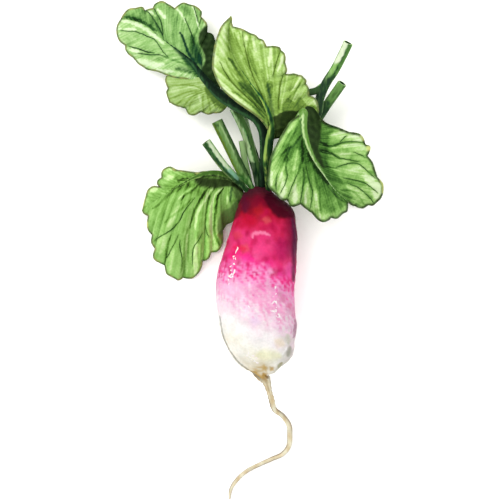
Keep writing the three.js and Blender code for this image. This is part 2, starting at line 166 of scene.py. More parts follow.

# span: the rib points between which a half hangs. margin: its outer edge, one curve for each
# tooth, which starts where the one before ends. ripple: how far the blade puffs up between its
# veins. crown: how far it arches. fan: above 1, the veins crowd together near the stalk. tone:
# how pale it is at the rib and at the margin. fan_from: where its fine streaks spread from, as
# seen. veins: radius and line. washes: pale (+) or dark (-) strokes, each as strength, half width
# and line: the blade's own streaks, with painted highlights and painted shade among them; so are
# deep, dark teal along the ribs that is partly painted shade, and yellowed. darkened, mostly
# painted shade in the tone, shaded, painted shadow, greyed, painted shade beside the root, and
# lifted, painted light, which is paler where the root keeps the light off: fields, each as
# strength, softness of the edge and outline. rim and yellow_rim: how wide its dark edge and how
# strong its yellow edge is.
LEAF_UPPER_LEFT = {
    "stalk": (1.25, 1.9), "blade": "blade_mid_green", "rind": "stalk_deep_green",
    "rib": [foot(0, 0.5), (2.6, 35.6, 13), (2.8, 39.4, 13.3), (2.5, 42.8, 13.4),
        (0.85, 45.85, 13.5), (-2.25, 47.95, 13.4), (-6.15, 50.05, 12.8), (-9.95, 52.55, 11.6),
        (-14.2, 57.3, 9.6), (-16.9, 61, 8.4), (-20.9, 64.6, 7), (-25.6, 68.2, 5.8),
        (-31.1, 72.5, 3.8), (-37.3, 74.2, 1.4)],
    "halves": [
        {
            "span": (7.9, 13), "ripple": 0.3, "crown": 1, "fan": 1.5, "tone": (0.66, 0.75),
            "margin": [
                [(-15.2, 55.4, 8.2), (-18.9, 56.9, 7), (-22.2, 57.4, 5.6), (-24.6, 58.2, 4.6)],
                [(-27.1, 59.2, 3.8), (-30, 59.8, 3), (-31.2, 60.7, 2.8)],
                [(-32.3, 61.3, 2.4), (-33.1, 62.1, 2), (-33.9, 63.2, 2)],
                [(-35.3, 64.2, 1.4), (-36.1, 65.4, 1), (-36.2, 66.7, 1)],
                [(-37.8, 67.9, 0.5), (-38.6, 70, 0.3), (-38.5, 72.2, 0.6), (-37.3, 74.2, 1.4)],
            ],
        },
        {
            "span": (7.3, 13), "ripple": 0.3, "crown": 0.8, "fan": 1.5, "tone": (0.5, 0.6),
            "margin": [
                [(-9.8, 53.6, 10.6), (-8.8, 58, 9.6), (-9.2, 63, 9), (-11.1, 68.1, 8.4)],
                [(-11.7, 69.4, 8.2), (-13.2, 70, 7.8)], [(-13.3, 72.4, 7.6), (-14.9, 74.4, 7)],
                [(-14.8, 75.9, 6.8), (-16.4, 77.3, 6.4), (-18.2, 77.8, 6.2), (-20.1, 78.3, 6),
                    (-22.3, 76.8, 5.6)],
                [(-23.8, 77.8, 5.4), (-25.8, 78.8, 5), (-27.7, 78.1, 4.6), (-28.4, 76.9, 4.4)],
                [(-29.3, 76.7, 4.2), (-30.5, 76.3, 4)],
                [(-31.4, 77.3, 3.6), (-33.3, 77, 3.2), (-35.3, 76.7, 2.6), (-36.9, 75, 1.8),
                    (-37.3, 74.2, 1.4)],
            ],
        },
        {
            "span": (6, 8), "ripple": 0.3, "crown": 0.6, "fan": 1, "tone": (0.54, 0.54),
            "turned": True,
            "washes": [
                (-0.22, 0.25, [(-14.5, 54.2), (-16.5, 55.3), (-18.9, 55.6), (-22.2, 55.6),
                    (-24, 55.3)]),
                (-0.22, 0.25, [(-14.7, 54), (-17, 53.9), (-19.6, 53.5), (-22.2, 52.4),
                    (-23.7, 51.8)]),
                (-0.22, 0.25, [(-15.2, 53.5), (-18, 53.1), (-20.1, 51.7), (-21.8, 50.2)]),
                (-0.22, 0.25, [(-14.7, 53.5), (-17, 52.6), (-18.9, 50.9), (-19.9, 49.3)]),
                (-0.22, 0.25, [(-16, 52.8), (-17.8, 50.7), (-18.3, 48.6)]),
                (-0.22, 0.25, [(-14.3, 53.1), (-14.5, 50.7), (-14.1, 48.2)]),
                (-0.22, 0.25, [(-13.1, 52.4), (-12.6, 50), (-12.2, 47.8)]),
                (-0.22, 0.25, [(-11.6, 51.3), (-10.8, 49.2)]),
                (0.25, 0.4, [(-15.4, 52.6), (-15, 51)]),
                (0.2, 0.3, [(-18.6, 55.1), (-16.8, 54.8), (-15.2, 54.6)]),
                (0.15, 1, [(-23.2, 54), (-21.5, 54.4)]),
                # Painted shade on the lobe beside the stalk.
                (-0.6, 1, [(-8.6, 49.4), (-11.2, 51.9), (-13.4, 54.6)]),
            ],
            "margin": [
                [(-8.2, 48.5, 10.6), (-9.6, 47.5, 9.6), (-11.5, 47.4, 8.6)],
                [(-13, 47.1, 7.8), (-15.1, 47.9, 6.8)],
                [(-16.6, 47, 6), (-18.3, 47.2, 5.4), (-19.3, 48.9, 5.2)],
                [(-21.8, 49.6, 4.4), (-23.8, 50.6, 4)], [(-24.6, 53.2, 3.6), (-24.2, 54.5, 3.8)],
                [(-24.9, 56.6, 4), (-24.7, 58, 4.4)],
            ],
        },
    ],
    "veins": [
        (0.12, [(-37.6, 70.9), (-35.3, 70.7), (-33.2, 70.6), (-31.7, 70), (-30.1, 69.3),
            (-28.5, 68.7), (-27.6, 68), (-26.6, 66.4), (-25.5, 64.8), (-24.3, 63.6)]),
        (0.15, [(-35.3, 66.5), (-33.6, 66.1), (-31.8, 65.5), (-29.9, 64.9), (-28, 64.6)]),
        (0.12, [(-32.7, 64.5), (-30.8, 64.3), (-29, 64.1), (-26.9, 64.15), (-25, 63.6)]),
        (0.16, [(-30.6, 76.6), (-29.4, 75.6), (-28.3, 74.1), (-27.3, 72.5), (-26.2, 70.6),
            (-25.5, 68.8)]),
        (0.12, [(-28.2, 77.2), (-27.3, 75.5), (-26.4, 73.8), (-25.9, 72), (-25.6, 69.6)]),
        (0.12, [(-19.6, 74.5), (-18.7, 72.4), (-17.8, 70.3), (-17.3, 68.7), (-16.8, 66.6)]),
        (0.1, [(-17.1, 77.9), (-16.5, 75.9), (-15.8, 73.2)]),
    ],
    "washes": [
        (0.28, 0.5, [(-37.3, 73.5), (-35.3, 73.3), (-33.4, 72.7), (-31.5, 71.9), (-29.9, 70.8),
            (-28.5, 69.7), (-26.9, 68.5), (-25.2, 67)]),
        (0.25, 0.3, [(-38.2, 71.3), (-35.3, 71.3), (-32.9, 71.1)]),
        (0.35, 0.45, [(-35, 65.5), (-33.9, 65.3), (-32.4, 65.1)]),
        (0.3, 0.8, [(-32.8, 62.6), (-30.1, 61.9), (-27.8, 61.4), (-25.5, 61.4)]),
        (0.2, 0.45, [(-27.5, 59.8), (-24.8, 59.6), (-22.4, 59.4)]),
        (-0.2, 0.35, [(-25, 63.5), (-22.4, 62.5), (-20.1, 61.7)]),
        (-0.2, 0.5, [(-22, 60.2), (-20, 59.6), (-18, 59.2)]),
        (-0.35, 0.8, [(-20, 63.2), (-17.5, 60.3), (-15.5, 57.6)]),
        (-0.2, 0.5, [(-36.5, 74.8), (-33, 74.1), (-30, 72.6), (-27.5, 70.8)]),
        (0.32, 0.55, [(-27.2, 76.8), (-26.2, 75.7), (-25, 74.3)]),
        (0.25, 0.4, [(-29.6, 76.3), (-28.6, 75.7), (-27.7, 75)]),
        (0.35, 0.3, [(-22.1, 77.3), (-21, 76.2), (-20.1, 74.8), (-19.4, 73.1)]),
        (0.45, 0.25, [(-17.6, 77.9), (-16.9, 76.6), (-16.4, 74.8), (-15.9, 72.7), (-15.5, 71.3)]),
        (-0.3, 1.5, [(-17.5, 69), (-16.8, 66), (-15.8, 62.5)]),
        (-0.15, 0.8, [(-20.2, 77.5), (-18.9, 76.5), (-18.2, 75.4)]),
        (0.06, 1.5, [(-25.4, 76), (-23, 71)]), (-0.05, 2, [(-35, 68.5), (-26, 62)]),
    ],
    "deep": [
        (0.5, 0.7, [(-21.9, 60.3), (-19.6, 60), (-17.6, 59.2)]),
        (0.9, 0.6, [(-22.5, 66), (-20.3, 64), (-18, 61.6), (-16, 59)]),
        (1, 0.45, [(-20.9, 70.3), (-20.1, 69), (-19.4, 67.1), (-18.7, 65.2), (-17.8, 63.6),
            (-16.6, 61.7), (-15.2, 59.6)]),
        (0.55, 1.3, [(-16.6, 66.5), (-16.2, 64.5), (-15.4, 62)]),
        (0.8, 0.6, [(-15.4, 64.2), (-14.9, 61.6), (-14.6, 59.5)]),
    ],
    "darkened": [
        (-0.1, 0.4, [(-37, 74.6), (-35.3, 76.9), (-32.5, 77.5), (-30.6, 76.4), (-28.3, 73.9),
            (-26.3, 70.4), (-28.3, 71.2), (-31.1, 73.1), (-34.6, 74.3)]),
    ],
    "shaded": [
        (1, 0.35, [(-15.2, 70.6), (-14.4, 71.5), (-13.3, 72.2), (-11, 71), (-8, 68), (-8, 52),
            (-13.6, 53.6), (-15.2, 57), (-14.7, 60.1), (-14, 61.5), (-13.9, 63.1), (-14.3, 64.5),
            (-15, 66.1), (-15.7, 67.8), (-15.6, 69.2)]),
    ],
}

LEAF_TOP = {
    "stalk": (1.2, 1.2), "blade": "blade_yellow_green", "rind": "stalk_yellow_green", "rim": 0.75,
    "rib": [foot(0, 1.5), (3.6, 30, 14.2), (3.4, 34.1, 16.2), (3.9, 39.1, 16.6), (4.5, 42.2, 16.8),
        (4.1, 45.9, 16.9), (2.1, 50.6, 16.9), (-1.5, 55.6, 16.8), (-4.3, 60, 16.5),
        (-6.4, 64.4, 16), (-7.3, 68.9, 15.2), (-6.6, 74, 13.8)],
    "halves": [
        {
            "span": (3.4, 11), "ripple": 0.1, "crown": 1.2, "fan": 1.2, "fan_from": (8, 42),
            "tone": (0.62, 0.78),
            "margin": [
                [(3.9, 40.7, 17), (3.5, 42.7, 17.4), (1, 45.8, 18.2), (-3.2, 48.8, 19.4),
                    (-5.5, 50.4, 20), (-9.3, 53.9, 20.7), (-11.3, 58.1, 20.8), (-11.7, 60.4, 20.8),
                    (-11.1, 65.4, 20), (-9.75, 69.8, 18), (-8.7, 71.8, 16.4), (-6.6, 74, 13.8)],
            ],
        },
        {
            "span": (3.4, 11), "ripple": 0.3, "crown": 1.4, "fan": 1.6, "fan_from": (6, 42),
            "tone": (0.55, 0.7),
            "margin": [
                [(4.8, 40, 16.2), (8.5, 40.8, 14.8), (13.5, 43.2, 13.6), (17.3, 46.5, 13.2),
                    (17.6, 49.2, 13.4), (16.8, 51.3, 13.6), (15, 52.2, 13.9)],
                [(14.9, 54.2, 14.2), (14.1, 55.4, 14.4)],
                [(14.2, 56.3, 14.5), (12.9, 57.6, 14.8), (12.3, 57.7, 14.9)],
                [(10.9, 58.1, 15.2), (9.6, 57.9, 15.5), (8.6, 58, 15.7)],
                [(8.9, 59.2, 15.9), (8.4, 61.2, 16.2)],
                [(8.5, 62.5, 16.3), (8.2, 63.6, 16.4), (7.4, 64.4, 16.6)],
                [(6.8, 65.3, 16.7), (5.3, 65.6, 16.8), (3.3, 65.5, 16.9)],
                [(2.7, 66.8, 17), (2.3, 67.3, 17), (1.2, 67.7, 17)],
                [(0.3, 68.6, 17), (-1.1, 69.1, 16.8)], [(-3.4, 70.3, 16.2), (-6, 71.1, 15.2)],
                [(-6.3, 72.3, 14.6), (-6.2, 73.4, 14.1), (-6.6, 74, 13.8)],
            ],
        },
    ],
    "veins": [
        (0.13, [(-9.7, 62.2), (-8.5, 59.6), (-6.9, 57.2), (-5.1, 55), (-2.7, 52.7), (-0.5, 51.1),
            (2.1, 48.1)]),
        (0.13, [(-3.3, 70.8), (-3.2, 68.4), (-2.4, 64.9), (-1.7, 62), (-0.8, 59), (0.5, 55.9),
            (1.6, 53.7), (2.7, 51.6), (3.9, 49), (4.8, 46.8)]),
        (0.12, [(7.2, 65.2), (6.4, 62.8), (5.6, 60.1), (5.1, 58)]),
        (0.14, [(8.2, 58.9), (7.2, 56.1), (6.9, 53.7), (6.7, 51.3), (6.8, 48.9)]),
    ],
    "washes": [
        (-0.3, 0.55, [(-7.4, 63.1), (-6.1, 61.6), (-5.1, 59.6), (-3.2, 56.9), (-1.3, 54.5),
            (0.5, 51.9), (2.4, 49.6), (3.8, 47.2)]),
        (-0.12, 0.25, [(-7.6, 67.3), (-7.2, 64.9), (-6.1, 62.2)]),
        (-0.15, 0.3, [(-8, 61.9), (-6.3, 58.4), (-3.9, 55.6), (-1.2, 52.9), (1.5, 50)]),
        (-0.2, 0.3, [(-6.5, 54), (-3, 51.6), (0.3, 49), (2.6, 46.4)]),
        (0.08, 0.6, [(-10.2, 69.5), (-11.1, 65.5), (-11.3, 61.5), (-10.9, 58.8), (-9.4, 56.2),
            (-7, 54), (-4, 51.5)]),
        (0.15, 0.8, [(-8.7, 71), (-9, 67), (-8.8, 63.5)]),
        (0.12, 0.5, [(-5.5, 53), (-2, 50.6), (1.5, 47.6), (3.4, 44.5)]),
        (-0.2, 0.3, [(-5.7, 70.3), (-4.9, 67.8), (-3.7, 64.9), (-2.4, 62.2), (-1.4, 60)]),
        (-0.2, 0.25, [(-1.1, 69.7), (-1.7, 67.3), (-1.9, 65.2), (-1.1, 62.3), (0.3, 59),
            (1.3, 56.8)]),
        (-0.3, 0.4, [(3.9, 56.8), (3.6, 55), (4, 53)]),
        (-0.25, 0.5, [(4.5, 56.5), (4.6, 54.5), (4.5, 52)]),
        (-0.2, 0.9, [(1.2, 54), (3, 50.5), (4.3, 47.5)]),
        (-0.3, 1.3, [(-4, 56), (-1, 52.5), (1.5, 49), (3.5, 45)]),
        (-0.16, 0.8, [(-6, 53.8), (-3, 51.8), (0, 49.2), (2.5, 45.5)]),
        (-0.13, 1.2, [(-9.5, 60), (-6, 56), (-3, 53.2)]), (-0.1, 0.8, [(6.4, 52), (6.5, 48)]),
        (-0.6, 0.9, [(4.6, 46), (4.9, 43.5), (5.2, 41)]),
        (-0.12, 0.35, [(1.9, 60), (2.6, 57.5), (3.3, 55)]),
        (0.35, 0.45, [(4.6, 66), (4.2, 63.3), (3.9, 60.9)]),
        (0.4, 0.35, [(8, 63.9), (7.3, 61.7), (6.5, 59.6)]),
        (0.42, 0.2, [(13.1, 58), (11.7, 56), (10.3, 53.8)]),
        (0.3, 0.4, [(2.3, 67.8), (1.4, 67.3)]), (0.2, 0.4, [(-0.5, 68.6), (0, 64.7), (0.7, 62.3)]),
        (0.22, 0.4, [(-2.5, 69.6), (-2.3, 68.2)]), (0.22, 0.35, [(-4.6, 70.4), (-4.2, 68.3)]),
        (0.07, 0.35, [(8.1, 56.9), (7.6, 53.7), (7.5, 50.5)]),
        (-0.22, 0.3, [(13.5, 57.3), (11.9, 54.8), (10.6, 53.1), (9.4, 51.9)]),
        (0.15, 0.7, [(16.8, 51.2), (17.3, 50)]), (0.1, 1.2, [(-2.6, 69), (-3.4, 63.5)]),
        (-0.1, 1.2, [(9.8, 58), (10, 54)]),
    ],
    "deep": [(0.55, 0.5, [(4.1, 56), (4, 53.7), (4.5, 51), (5.1, 48.4), (5.6, 45.7)])],
    # Painted shadow of the right leaf, lighter than the shaded field below it.
    "darkened": [
        (-0.32, 0.15, [(7.7, 48.8), (8.3, 50.9), (9.2, 52), (10.3, 51.4), (11.3, 50.9),
            (12.5, 52.4), (13.6, 51.3), (14.7, 50), (16.3, 50), (17.6, 48.9), (19, 44), (8, 40)]),
    ],
    "shaded": [
        (0.95, 0.25, [(4.6, 45.6), (6.4, 47.3), (8.3, 48.3), (9.9, 48.5), (11.4, 48.4),
            (13.2, 47.7), (14, 40), (3, 38)]),
    ],
}

LEAF_RIGHT = {
    "stalk": (1.2, 1.2), "blade": "blade_deep_green", "rind": "stalk_pale_rib", "yellow_rim": 0.05,
    "rim": 1,
    "rib": [foot(1, 1), (6.6, 33, 12.6), (9.4, 40, 16.4), (11.9, 45, 20.4), (13.3, 47, 23.4),
        (13.3, 45.4, 25.4), (13.5, 41.6, 26), (14.7, 37.6, 25.4), (16.4, 33.9, 23.6),
        (18.8, 30.3, 20.4), (21.4, 26.8, 15.4), (24.1, 24.2, 9.4), (26, 22.8, 4.6)],
    "halves": [
        {
            "span": (4.4, 12), "ripple": 0.3, "crown": 1.6, "fan": 1.5, "fan_from": (13.5, 46),
            "tone": (0.3, 0.74),
            "margin": [
                [(13.2, 47, 23.8), (10.3, 45.1, 23), (8.9, 43.5, 22.6), (6.5, 39.4, 21.6),
                    (4.6, 35.6, 20.6), (3.9, 32.9, 19.8), (3.6, 28.6, 18.6), (3.9, 26.7, 18.2),
                    (5.8, 24.9, 17.6)],
                [(6.9, 23.7, 17.2), (7.9, 23.1, 16.8), (9, 23.2, 16.4)],
                [(9.8, 21.6, 15.8), (11.1, 21.5, 15.2), (12.6, 22.1, 14.4)],
                [(14.2, 20.8, 13.4), (15.9, 19.6, 12.4)],
                [(17.4, 17.9, 11.2), (19, 17.2, 10), (20.5, 17.7, 9), (21.2, 18.4, 8.6)],
                [(22.9, 18.2, 7.6), (24.6, 19.6, 6), (25.8, 20.3, 5), (26, 22.7, 4.6)],
            ],
        },
        {
            "span": (4.4, 12), "ripple": 0.3, "crown": -2.4, "fan": 1.5, "tone": (0.5, 0.68),
            "margin": [
                [(13.5, 47.6, 23.4), (14.3, 48.8, 22.2), (16.2, 48.3, 20.6), (18.1, 45.9, 18.8),
                    (19.9, 44.3, 17.2), (23, 43.2, 15.6), (26.2, 42, 14)],
                [(28.1, 41.8, 13.4), (29.2, 41.4, 12.8), (30.1, 40.4, 12.4), (30.7, 38.7, 12)],
                [(31.9, 38.2, 11.4), (32, 37.2, 11.2), (31.3, 35.5, 11)],
                [(32.6, 33.9, 10), (33.7, 31, 8.6), (34.1, 29.8, 8)],
                [(35.6, 28.1, 6.4), (35.9, 26.9, 5.4), (35.8, 25.2, 3.8), (35.2, 23.8, 2.6),
                    (34.3, 22.9, 2), (33.1, 21.9, 1.4), (31.9, 22, 1)],
                [(30.4, 21.1, 0.6), (29, 21.3, 0.8), (28.1, 21.9, 1.2)],
                [(27.5, 21.8, 1.6), (26, 22.8, 4)],
            ],
        },
    ],
    "veins": [
        (0.13, [(12, 30.9), (11, 28.5), (10, 26.1), (9.3, 24)]),
        (0.12, [(8.8, 32.6), (9.1, 30.2), (8.3, 27.5), (7, 25.1)]),
        (0.14, [(6.4, 30.9), (6, 28.5), (6, 26)]),
        (0.13, [(13.7, 32.4), (13.9, 29.5), (13.4, 26.5), (13.1, 23.9), (12.8, 22.6)]),
        (0.12, [(14.4, 33), (15.1, 29.5), (16.1, 26.1), (16.1, 23.9), (15.5, 20.9)]),
        (0.12, [(25, 22.9), (23.4, 24.1), (22, 25.6), (20.4, 27.6)]),
        (0.12, [(25.9, 41.6), (24.9, 40.7), (23.9, 39.7)]),
        (0.12, [(20.5, 38.5), (22.2, 38.7), (24.6, 39.5), (27.3, 39.8), (30.3, 39.5)]),
        (0.14, [(18.8, 37), (21, 36.6), (22.4, 36), (23.6, 35.2), (25.9, 34.8), (29.5, 34.1)]),
        (0.14, [(22.7, 32.4), (24.9, 33.3), (27.6, 33.8), (29.5, 33.3), (31.5, 31.6),
            (33.8, 29.5)]),
        (0.13, [(24.6, 29.7), (27.1, 29.2), (30, 28.5), (32.2, 27.3), (34.6, 25.3)]),
        (0.14, [(25.9, 28.2), (28.8, 27), (30.7, 25.6), (32.4, 23.9), (33.4, 22.6)]),
        (0.1, [(27.6, 36.8), (29.3, 36.3), (31, 35.3)]),
    ],
    "washes": [
        (-0.16, 0.35, [(13.2, 41.6), (11.2, 39.2), (9.5, 38), (7.1, 35.8)]),
        (-0.2, 0.4, [(13.3, 40), (13.4, 36), (13, 33.4), (12.1, 30.9)]),
        (-0.2, 0.3, [(9.3, 35.6), (8.8, 32.6), (9.1, 30.2)]),
        (-0.25, 0.6, [(15, 36.5), (16.5, 33.5), (18.5, 30.5), (20.5, 28)]),
        (-0.15, 1.2, [(13.6, 43), (13.8, 38), (14.5, 34)]),
        (-0.15, 0.3, [(10.5, 43), (9, 40.5), (7.8, 38.3)]),
        (-0.15, 0.3, [(12, 44), (10.8, 41.5), (9.6, 39.8)]),
        (-0.12, 0.25, [(18.1, 27.5), (18.3, 23.6), (18.3, 20.5)]),
        (0.16, 0.75, [(7.7, 31), (7.9, 27.2), (7.6, 24.3)]),
        (0.22, 0.9, [(11.4, 27.6), (11.2, 22.9)]), (0.16, 0.5, [(4.8, 31.5), (4.8, 27.5)]),
        (0.2, 0.6, [(14.6, 28), (14.2, 22.6)]),
        (0.2, 0.8, [(11.9, 37.3), (11.3, 34.5), (10.9, 32)]),
        (0.15, 1, [(19.3, 20.5), (19.2, 18.6)]), (0.15, 0.8, [(17.2, 26), (17.3, 21.5)]),
        (0.12, 0.6, [(12, 45.5), (9.5, 42.4)]), (-0.15, 1.5, [(23.2, 22.3), (23.6, 20)]),
        (-0.25, 0.4, [(18.3, 39.7), (20.5, 38.5), (22.2, 38.6), (24, 39.2)]),
        (-0.3, 0.35, [(18.6, 37), (21, 36.6), (22.6, 35.9), (23.8, 35)]),
        (-0.2, 0.3, [(19.1, 32.9), (22.7, 32.4)]),
        (-0.15, 0.3, [(24.1, 26.3), (27.1, 26.1), (29.5, 24.1), (30.6, 22.4)]),
        (0.2, 1.2, [(21.8, 41.6), (25.5, 41.8), (29.8, 40.6)]),
        (0.1, 1.4, [(25.6, 31.5), (29, 31.8), (31.8, 29.8)]),
        (0.34, 1.5, [(31.4, 29.8), (34.2, 27), (34, 24.4)]),
        (-0.14, 1.3, [(9.5, 39), (7.2, 33.5)]), (0.1, 1.5, [(22, 37.6), (26, 33.8)]),
        (-0.06, 1.5, [(18, 23), (21, 20.5)]),
        (0.15, 0.6, [(24.5, 38.4), (28.5, 38.6), (31, 38.3)]),
        (0.16, 1.6, [(23.5, 26.5), (27, 25.5), (30.5, 24.5)]),
        (-0.12, 1.3, [(18.5, 20.5), (22, 21)]), (-0.16, 1, [(10.5, 38), (8.5, 34.5)]),
        (-0.25, 0.35, [(18.7, 45.9), (20.4, 44.8), (23.5, 43.8), (26.2, 43)]),
    ],
    "deep": [
        (0.2, 0.4, [(12.6, 40.2), (10.8, 38.6), (9, 36.9)]), (0.3, 0.4, [(5.9, 37.6), (4.7, 34)]),
    ],
    "yellowed": [
        (0.8, 0.7, [(31.6, 38.2), (32.3, 37.6)]),
        (0.6, 0.4, [(35.2, 29), (36, 27.4), (35.9, 25.6)]),
        (0.5, 0.4, [(29.6, 41.6), (30.4, 40.2)]),
    ],
    # Painted shade on the right half, beyond its darkest fold.
    "darkened": [
        (-0.28, 0.5, [(18.4, 45.6), (21, 45), (23.5, 43.9), (21, 42), (20.6, 39.5), (20.5, 36),
            (20.4, 33.5), (22.5, 31), (25, 28), (27.4, 24.6), (25.6, 23.6), (22, 27), (18.6, 32),
            (17.8, 38)]),
    ],
    "shaded": [
        (1, 0.35, [(13.6, 48.6), (14.9, 49.9), (16.9, 49.6), (18.2, 47.4), (18.5, 45.5),
            (18.6, 43), (18.2, 40), (18, 37), (18.9, 34.5), (19.4, 32.2), (18, 33.4), (16.4, 36),
            (15.5, 38.5), (14.7, 41), (14.2, 44)]),
    ],
}

